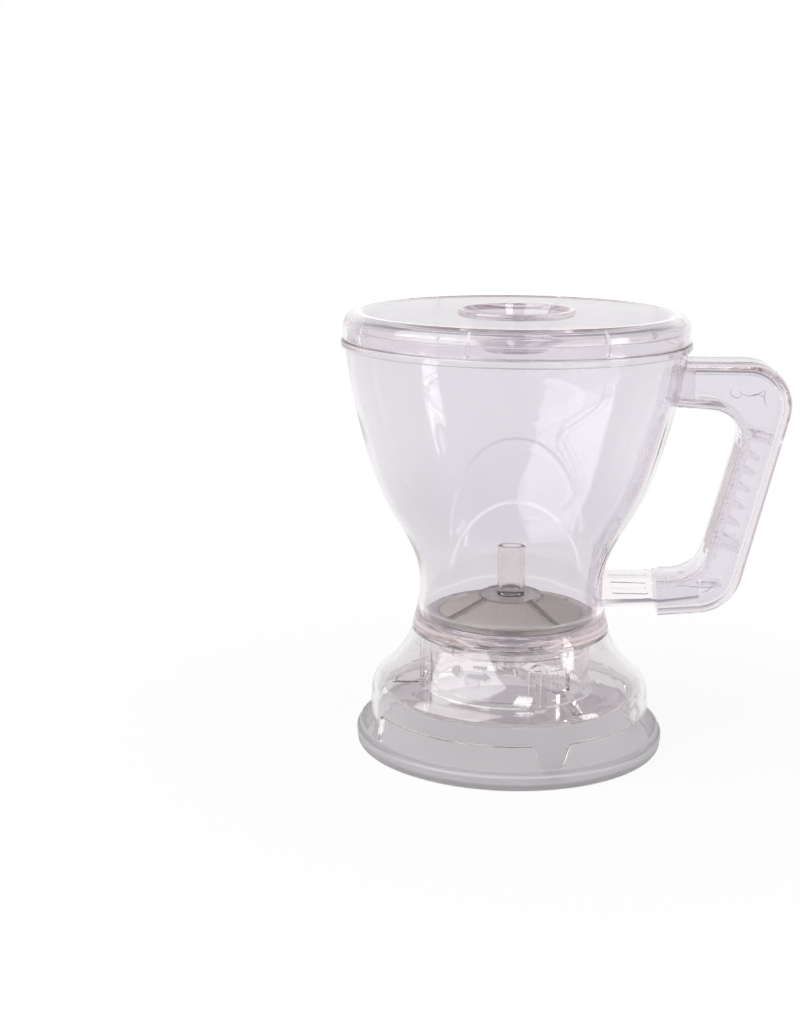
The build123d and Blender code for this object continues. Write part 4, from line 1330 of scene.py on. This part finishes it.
@dataclass
class BellBase:
    """Clear bell on four feet, with a deck and a slotted sleeve for the vessel's bayonet."""

    shop: Workshop
    foot_bottom: float = 2.0
    foot_radius: float = 51.5
    wall_radius: float = 51.0
    shoulder_height: float = 20.0
    shoulder_radius: float = 8.3
    shoulder_turn: float = 52.0
    flare_radius: float = 35.0
    wall: float = 2.2
    deck_top: float = 44.3
    deck: float = 2.0
    window_top: float = 14.2
    foot_turns: tuple[float, ...] = (18.0, 108.0, 198.0, 288.0)
    foot_top_width: float = 13.6
    foot_bottom_width: float = 5.0
    foot_rounding: float = 0.35
    sleeve_inner: float = 27.3
    sleeve_outer: float = 29.3
    sleeve_bottom: float = 22.0
    groove_radius: float = 28.9
    groove_heights: tuple[float, float] = (37.5, 40.8)
    groove_turns: tuple[float, ...] = (75.0, 165.0, 255.0, 345.0)
    groove_half: float = 7.23
    twist: float = 22.0
    arm_turns: tuple[float, ...] = (35.0, 155.0, 275.0)
    arm_slot: float = 7.98
    arm_window: float = 16.85
    arm_window_heights: tuple[float, float] = (25.1, 33.7)
    lip_bevel: float = 0.45
    deck_run: float = 3.0       # how far outside the sleeve the deck's flat top is held
    slot_slant: float = 0.5     # degrees over which a groove's side rises
    foot_span: tuple[float, float, int] = (1.5, 9.5, 21)    # turns from a foot's middle, columns
    wall_rows: int = 14
    shoulder_rows: int = 14
    flare_rows: int = 22
    even_columns: int = 120
    shell_shade: float = 0.3     # how much of the painted shade the bell's wall has

    @property
    def arm_edges(self) -> tuple[float, float, float]:
        """Turns past an arm's middle: the window's start, the slot's start, the end of both."""
        start = -self.arm_slot / 2
        return start, start + self.arm_window - self.arm_slot, start + self.arm_window

    @property
    def entry_end(self) -> float:
        """Turn past a groove's middle where the way into it from above ends."""
        return self.groove_half - self.twist

    def skin(self, inset: float) -> np.ndarray:
        """Shoulder and flare of the bell's outline, moved inwards by inset.

        Two arcs that touch: the shoulder bends inwards from the upright wall, and the flare bends
        back outwards up to the deck.

        Args:
            inset: distance inwards.

        Returns:
            (r, z) points from the shoulder's start upwards.
        """
        turn = math.radians(self.shoulder_turn)
        centre = (self.wall_radius - self.shoulder_radius, self.shoulder_height)
        shoulder = arc_points(
            centre, self.shoulder_radius - inset, 0.0, self.shoulder_turn, self.shoulder_rows
        )
        reach = self.shoulder_radius + self.flare_radius
        far = (centre[0] + reach * math.cos(turn), centre[1] + reach * math.sin(turn))
        radius = self.flare_radius + inset
        top = self.deck_top if inset == 0 else self.deck_top - self.deck
        last = 180.0 - math.degrees(math.asin((top - far[1]) / radius))
        flare = arc_points(far, radius, 180.0 + self.shoulder_turn, last, self.flare_rows)
        return np.concatenate([shoulder, flare[1:]])

    def lower_edge(self, turns: np.ndarray) -> np.ndarray:
        """Height of the bell's lower edge at these turns.

        Between the feet it is the windows' top. At a foot it drops along a slanting side, a ramp
        with rounded corners, to the foot's end.

        Args:
            turns: turns in degrees.

        Returns:
            Heights in millimetres.
        """
        sideways = np.abs(np.radians(turns_past(turns, self.foot_turns))) * self.foot_radius
        flank = (self.foot_top_width - self.foot_bottom_width) / 2
        share = (self.foot_top_width / 2 - sideways) / flank
        foot = soft_ramp(share, self.foot_rounding).max(axis=1)
        return self.window_top - (self.window_top - self.foot_bottom) * foot

    def columns(self) -> np.ndarray:
        """Turns of the grid's columns: close at the feet's sides and at each slot's edge.

        Returns:
            The turns, in order.
        """
        flank, slant = np.linspace(*self.foot_span), self.slot_slant
        feet = beside(self.foot_turns, np.concatenate([-flank[::-1], flank]))
        half, free, entry = self.groove_half, self.groove_half + self.twist, self.entry_end
        groove_edges = (-free - slant, -free, half, half + slant, entry, entry + slant)
        grooves = beside(self.groove_turns, groove_edges)
        arms = beside(self.arm_turns, self.arm_edges)
        return merged_turns(even_turns(self.even_columns), feet, grooves, arms)

    def build(self) -> None:
        """Make the bell, its deck and its sleeve as one moulding."""
        turns = self.columns()
        edge = self.lower_edge(turns)[:, None]
        above_out, above_in = self.skin(0.0), self.skin(self.wall)
        share, bevel = np.linspace(0.0, 1.0, self.wall_rows)[None], self.lip_bevel
        foot_out, foot_in = self.foot_radius, self.foot_radius - self.wall
        slope = (self.wall_radius - foot_out) / (self.shoulder_height - self.foot_bottom)

        def side(foot: float) -> np.ndarray:
            """The wall over its lower edge, leaning from a foot's radius to the shoulder."""
            height = edge + bevel + (self.shoulder_height - edge - bevel) * share
            return np.stack([foot + slope * (height - self.foot_bottom), height], axis=-1)

        outside, inside = side(foot_out), side(foot_in)[:, ::-1]
        lip = rounded(
            [(foot_in, bevel, 0), (foot_in, 0, bevel), (foot_out, 0, bevel), (foot_out, bevel, 0)]
        )
        lip_places = [lip[:, 0] + slope * (edge - self.foot_bottom), lip[:, 1] + edge]
        lips = np.stack(lip_places, axis=-1)
        low, high = self.groove_heights
        window_low, window_high = self.arm_window_heights
        levels = [self.deck_top, high, high, low, low, window_high, window_low, self.sleeve_bottom]
        underside = self.deck_top - self.deck
        inner = np.array([(self.sleeve_inner, level) for level in levels])
        outer = np.array([(self.sleeve_outer, level) for level in [*levels[:0:-1], underside]])
        deck_end = (self.sleeve_inner + self.deck_run, self.deck_top, 0)
        brim = rounded([(*above_out[-2], 0), (*above_out[-1], 0.3), deck_end])
        upper = np.concatenate([above_out[1:-1], brim[1:]])
        under = rounded([(*outer[-1], 0), (above_in[-1][0], underside, 0.5), (*above_in[-2], 0)])
        fixed = [upper, inner, outer, under[1:-1], above_in[-2:0:-1]]
        tiled = [np.repeat(part[None], len(turns), axis=0) for part in fixed]
        sections = np.concatenate([outside, *tiled, inside, lips[:, 1:-1]], axis=1)
        inner_top = self.wall_rows + len(upper)
        free = -self.groove_half - self.twist
        in_groove = within(turns, self.groove_turns, free, self.groove_half)
        in_entry = within(turns, self.groove_turns, free, self.entry_end)
        sections[in_groove, inner_top + 2 : inner_top + 4, 0] = self.groove_radius
        sections[in_entry, inner_top : inner_top + 2, 0] = self.groove_radius
        middles = turns + (np.roll(turns, -1) - turns) % 360.0 / 2
        window_start, slot_start, end = self.arm_edges
        holes = np.zeros((len(turns), len(levels) - 1), bool)
        holes[:, 5] = within(middles, self.arm_turns, window_start, end, play=0.0)
        holes[:, 6] = within(middles, self.arm_turns, slot_start, end, play=0.0)
        rows = sections.shape[1]
        cells = grid_cells(len(turns), rows, closed_rows=True)
        outer_top = inner_top + 2 * len(levels) - 1
        faces = np.concatenate(pierce(cells, rows, holes, inner_top, outer_top))
        # Painted shade over the bell's wall, inside and out, but not its deck or sleeve.
        row = np.arange(rows)
        on_wall = (row < self.wall_rows + len(above_out) - 2) | (row > outer_top + len(under))
        lines = np.where(on_wall, -self.shell_shade, 0.0)
        mesh = mesh_of("clear_bell", lathe(sections, turns), faces, lines=lines)
        self.shop.piece(mesh, Body.BASE, Slot.CLEAR, ["base_skirt"], BASE_PLASTIC)


@dataclass
class Handle:
    """Hollow clear cover of the loop handle, open on its finger side, with its weld marks."""

    shop: Workshop
    outer: tuple[tuple[float, float, float], ...] = (
        (45.0, 143.4, 0.0),
        (101.8, 143.4, 15.7),
        (80.0, 52.9, 17.0),
        (53.3, 50.6, 0.0),
    )
    inner: tuple[tuple[float, float, float], ...] = (
        (45.0, 127.7, 0.0),
        (83.4, 126.2, 11.5),
        (67.6, 65.1, 13.0),
        (52.0, 64.3, 0.0),
    )
    half_width: float = 11.0
    wall: float = 3.2
    side: float = 2.0
    outer_edge: float = 4.4
    finger_edge: float = 1.6
    cavity_edge: float = 1.8
    edge_hold: float = 0.4      # beside an edge's rounding, where its flat is held
    lip_run: float = 0.25       # how far the finger side's lip runs in beside the cavity
    lip_depths: tuple[float, float, int] = (0.25, 2.4, 7)       # rows of its inner side
    weld_gap: float = 0.15
    arc_steps: int = 18
    edge_steps: int = 9
    lip_steps: int = 5
    bowl_heights: tuple[float, ...] = (112.5, 120.0, 127.5, 135.0, 141.0, 147.2)
    bowl_radii: tuple[float, ...] = (54.0, 56.1, 57.8, 59.2, 60.2, 61.0)
    mark_depth: float = -8.86
    mark_radius: float = 0.16
    mark_steps: int = 8         # places along a mark for each of its points
    marks: tuple[tuple[tuple[float, float], ...], ...] = (
        ((76.3, 134.6), (75.3, 133.0), (76.5, 131.5), (78.0, 131.1), (79.3, 132.3), (77.9, 133.7)),
        ((79.3, 132.7), (81.9, 131.8), (84.5, 132.4), (87.6, 131.2)),
        ((82.8, 131.5), (85.3, 132.8), (87.6, 134.1)),
        ((87.6, 134.1), (87.3, 130.3), (88.2, 128.4)),
        ((68.4, 60.1), (70.9, 61.2), (72.8, 63.5), (74.3, 65.2)),
        ((57.8, 61.6), (59.4, 62.3), (67.1, 62.1), (75.6, 62.6)),
    )

    def rows(self) -> list[tuple[bool, float, float]]:
        """The section's rows.

        The first half goes round the outside from one finger-side lip to the other, and the
        second half comes back through the cavity, row facing row.

        Returns:
            Whether a row follows the outer path, its depth from that path, and its y.
        """

        def arc(radius: float, steps: int) -> Iterable[tuple[float, float]]:
            """Radius times one less the sine and one less the cosine, over a quarter turn."""
            turn = np.radians(np.linspace(0.0, 90.0, steps))
            return zip(radius * (1 - np.sin(turn)), radius * (1 - np.cos(turn)))

        half, edge, lip, bend = self.half_width, self.outer_edge, self.finger_edge, self.cavity_edge
        floor, room, hold, steps = self.wall, half - self.side, self.edge_hold, self.edge_steps
        outside = [(False, 0.0, room + self.lip_run)]
        outside += [(False, across, half - along) for along, across in arc(lip, self.lip_steps)]
        outside += [(False, lip + hold, half), (True, edge + hold, half)]
        outside += [(True, along, half - across) for along, across in arc(edge, steps)]
        outside += [(True, 0.0, half - edge - hold)]
        inside = [(False, depth, room) for depth in np.linspace(*self.lip_depths)]
        inside += [(True, floor + bend + hold, room)]
        inside += [(True, floor + along, room - across) for along, across in arc(bend, steps)]
        inside += [(True, floor, room - bend - hold)]
        far_outside = [(path, depth, -y) for path, depth, y in outside[::-1]]
        far_inside = [(path, depth, -y) for path, depth, y in inside[::-1]]
        return outside + far_outside + (inside + far_inside)[::-1]

    def build(self) -> None:
        """Make the cover and the fine beads that its weld left inside it."""
        columns = []
        for on_outer, depth, y in self.rows():
            path = self.outer if on_outer else self.inner
            places = parallel(path, depth if on_outer else -depth, self.arc_steps)
            bowl = np.interp(places[0, 1], self.bowl_heights, self.bowl_radii) + self.weld_gap
            places[0, 0] = math.sqrt(bowl * bowl - y * y)
            columns.append(np.column_stack([places[:, 0], np.full(len(places), y), places[:, 1]]))
        points, cells = swept(np.stack(columns, axis=1))
        mesh = mesh_of("clear_handle_cover", points, cells)
        self.shop.piece(mesh, Body.BREWER, Slot.HANDLE, ["handle_cover"])
        beads = [self.bead(mark) for mark in self.marks]
        starts = np.cumsum([0] + [len(points.reshape(-1, 3)) for points, _ in beads[:-1]])
        points = np.concatenate([points.reshape(-1, 3) for points, _ in beads])
        cells = np.concatenate([cells + start for (_, cells), start in zip(beads, starts)])
        mesh = mesh_of("weld_marks", points, cells)
        # The beads carry the painted shade all over.
        self.shop.piece(mesh, Body.BREWER, Slot.HANDLE, finish=WELD_PLASTIC)

    def bead(self, mark: Sequence[tuple[float, float]]) -> tuple[np.ndarray, np.ndarray]:
        """One weld mark, a smooth bead on the cavity's front wall.

        Args:
            mark: the (x, z) points that it passes.

        Returns:
            The bead's points and its (count, 4) corner indices.
        """
        line = spline(mark, np.linspace(0.0, 1.0, self.mark_steps * len(mark)))
        centres = np.column_stack([line[:, 0], np.full(len(line), self.mark_depth), line[:, 1]])
        return tube(centres, self.mark_radius)


# ---------------------------------------------------------------------- stage


def sees_background(tree: bpy.types.NodeTree) -> bpy.types.NodeSocket:
    """Tell the rays that show the white background from those that light the object.

    Args:
        tree: the node tree.

    Returns:
        The greatest of the three ray tests: 1 for camera, mirrored and clear rays, else 0.
    """
    path = add_node(tree, "ShaderNodeLightPath")
    through = add_node(
        tree,
        "ShaderNodeMath",
        {0: path.outputs["Is Glossy Ray"], 1: path.outputs["Is Transmission Ray"]},
        operation="MAXIMUM",
    )
    seen = add_node(
        tree,
        "ShaderNodeMath",
        {0: path.outputs["Is Camera Ray"], 1: through.outputs[0]},
        operation="MAXIMUM",
    )
    return seen.outputs[0]


@dataclass(frozen=True)
class Softbox:
    """A rectangular light that faces the object."""

    name: str
    turn: float         # degrees from the front
    height: float       # degrees above the horizon
    distance: float     # metres from the object's middle
    size: tuple[float, float]       # width and height in metres
    glow: float         # radiance, where 1 is white
    aim: float = 0.08   # height of the object's middle in metres

    def build(self) -> None:
        """Hang the light: its power is its glow times pi times its area."""
        data = bpy.data.lights.new(self.name, "AREA")
        data.shape = "RECTANGLE"
        data.size, data.size_y = self.size
        data.energy = self.glow * math.pi * self.size[0] * self.size[1]
        light = bpy.data.objects.new(self.name, data)
        side, rise = math.radians(self.turn), math.radians(self.height)
        out = Vector(
            (math.sin(side) * math.cos(rise), -math.cos(side) * math.cos(rise), math.sin(rise))
        )
        place = Matrix.Translation(out * self.distance + Vector((0, 0, self.aim)))
        light.matrix_world = place @ (-out).to_track_quat("-Z", "Y").to_matrix().to_4x4()
        bpy.context.scene.collection.objects.link(light)


@dataclass
class Studio:
    """Camera, soft lights, white surround and pale floor."""

    focal_px: float = 1738.9
    sensor_mm: float = 36.0
    clip: tuple[float, float] = (0.01, 20.0)
    eye: tuple[float, float, float] = (0.0, -0.6197, 0.2255)
    pitch: float = 12.71
    yaw: float = -3.79
    roll: float = 0.344
    sky: tuple[float, float] = (0.25, 0.5)      # even light from the horizon and from above
    sky_colour: str = "#E6E4EA"
    ceiling: str = "#A6A3AA"
    ceiling_edge: tuple[float, float] = (0.1, 0.55)     # sines of the heights where it fades in
    floor_paint: str = "#EDECEE"
    floor_glow: float = 0.93        # share of white in the floor at the object
    floor_fade: tuple[float, float] = (0.07, 0.26)      # metres over which it becomes all white
    floor_half: float = 3000.0
    floor_drop: float = 0.3
    bounces: int = 64       # enough for rays to get through every wall of the clear pieces
    softboxes: tuple[Softbox, ...] = (
        Softbox("left_softbox", -55.0, 41.0, 1.2, (1.4, 1.1), 3.0),
        Softbox("right_softbox", 70.0, 16.0, 1.3, (0.3, 0.5), 5.0),
        Softbox("top_softbox", 26.0, 68.0, 1.3, (0.25, 0.25), 6.0),
    )

    def camera(self) -> None:
        """Set the camera: forwards and sideways from yaw and pitch, then rolled."""
        pitch, yaw, roll = map(math.radians, (self.pitch, self.yaw, self.roll))
        ahead = Vector(
            (math.sin(yaw) * math.cos(pitch), math.cos(yaw) * math.cos(pitch), -math.sin(pitch))
        )
        right = Vector((math.cos(yaw), -math.sin(yaw), 0.0))
        up = right.cross(ahead)
        rolled_right = right * math.cos(roll) + up * math.sin(roll)
        rolled_up = up * math.cos(roll) - right * math.sin(roll)
        data = bpy.data.cameras.new("camera")
        data.sensor_width = self.sensor_mm
        data.lens = self.focal_px / max(PICTURE_SIZE) * self.sensor_mm
        data.clip_start, data.clip_end = self.clip
        camera = bpy.data.objects.new("camera", data)
        turned = Matrix((rolled_right, rolled_up, -ahead)).transposed().to_4x4()
        camera.matrix_world = Matrix.Translation(self.eye) @ turned
        bpy.context.scene.collection.objects.link(camera)
        bpy.context.scene.camera = camera

    def surround(self) -> None:
        """White walls and a grey ceiling where they are seen, and a soft light from them."""
        world = bpy.data.worlds.new("white_surround")
        world.use_nodes = True
        tree = world.node_tree
        tree.nodes.clear()
        place = add_node(tree, "ShaderNodeTexCoord")
        axes = add_node(tree, "ShaderNodeSeparateXYZ", {"Vector": place.outputs["Generated"]})
        height = {"Value": axes.outputs["Z"]}
        low, high = self.sky
        rise = add_node(tree, "ShaderNodeMapRange", height, To_Min=low, To_Max=high)
        soft = add_node(
            tree,
            "ShaderNodeBackground",
            {"Strength": rise.outputs["Result"]},
            Color=linear(self.sky_colour),
        )
        ceiling = add_node(
            tree,
            "ShaderNodeMapRange",
            height,
            interpolation_type="SMOOTHSTEP",
            From_Min=self.ceiling_edge[0],
            From_Max=self.ceiling_edge[1],
        )
        colours = {MIX_FIRST: linear(WHITE), MIX_SECOND: linear(self.ceiling)}
        feeds = {"Factor": ceiling.outputs["Result"], **colours}
        paint = add_node(tree, "ShaderNodeMix", feeds, data_type="RGBA").outputs[MIX_RESULT]
        white = add_node(tree, "ShaderNodeBackground", {"Color": paint}, Strength=1.0)
        both = add_node(
            tree,
            "ShaderNodeMixShader",
            {0: sees_background(tree), 1: soft.outputs[0], 2: white.outputs[0]},
        )
        add_node(tree, "ShaderNodeOutputWorld", {"Surface": both.outputs[0]})
        bpy.context.scene.world = world

    def floor(self) -> None:
        """Pale floor that shows white, yet keeps the object's soft shadow.

        Rays that see the background meet a white glow with a share of the lit, shadowed paint
        added. The share fades to nothing away from the object, where only the white is left.
        """
        half = self.floor_half
        corners = np.array([(-half, -half), (half, -half), (half, half), (-half, half)])
        points = np.column_stack([corners, np.full(len(corners), -self.floor_drop)])
        mesh = bpy.data.meshes.new("pale_floor")
        mesh.from_pydata((points * MM).tolist(), [], [(0, 1, 2, 3)])
        floor = bpy.data.objects.new("pale_floor", mesh)
        bpy.context.scene.collection.objects.link(floor)
        material, tree = new_material("pale_floor")
        place = add_node(tree, "ShaderNodeTexCoord")
        reach = add_node(
            tree, "ShaderNodeVectorMath", {0: place.outputs["Object"]}, operation="LENGTH"
        )
        away = add_node(
            tree,
            "ShaderNodeMapRange",
            {"Value": reach.outputs["Value"]},
            interpolation_type="SMOOTHSTEP",
            From_Min=self.floor_fade[0],
            From_Max=self.floor_fade[1],
            To_Min=self.floor_glow,
        )
        share = add_node(
            tree,
            "ShaderNodeMath",
            {0: sees_background(tree), 1: away.outputs["Result"]},
            operation="MULTIPLY",
        )
        matte = add_node(tree, "ShaderNodeBsdfDiffuse", Color=linear(self.floor_paint))
        glow = add_node(tree, "ShaderNodeEmission", Color=linear(WHITE), Strength=1.0)
        mix = add_node(
            tree,
            "ShaderNodeMixShader",
            {0: share.outputs[0], 1: matte.outputs[0], 2: glow.outputs[0]},
        )
        add_node(tree, "ShaderNodeOutputMaterial", {"Surface": mix.outputs[0]})
        mesh.materials.append(material)

    def build(self) -> None:
        """Set up everything round the object."""
        self.camera()
        self.surround()
        self.floor()
        for softbox in self.softboxes:
            softbox.build()
        bpy.context.scene.view_settings.view_transform = "Standard"
        cycles = bpy.context.scene.cycles
        cycles.max_bounces = cycles.transmission_bounces = cycles.glossy_bounces = self.bounces
        log.info("studio: camera, surround, floor and lights")


def main() -> None:
    """Build the assemblies in order, then the studio."""
    shop = Workshop()
    Coaster(shop).build()
    Vessel(shop).build()
    Lid(shop).build()
    BellBase(shop).build()
    Handle(shop).build()
    inner_frame = softened("handle_frame", edge_mm=0.2)
    shop.piece(inner_frame, Body.BREWER, Slot.HANDLE, ["handle_frame"], FRAME_PLASTIC)
    shop.dress("push_plate", Slot.CLEAR, PLATE_PLASTIC)
    for node, slot in (
        ("twist_marks", Slot.MARK),
        ("grip_strip", Slot.GRIP),
        ("filter_frame", Slot.FILTER),
        ("filter_mesh", Slot.MESH),
        ("filter_post", Slot.POST),
        ("valve_stopper", Slot.SILICONE),
        ("valve_stem", Slot.STEM),
        ("stem_guide", Slot.CLEAR),
    ):
        shop.dress(node, slot)
    Studio().build()


if __name__ == "__main__":
    main()
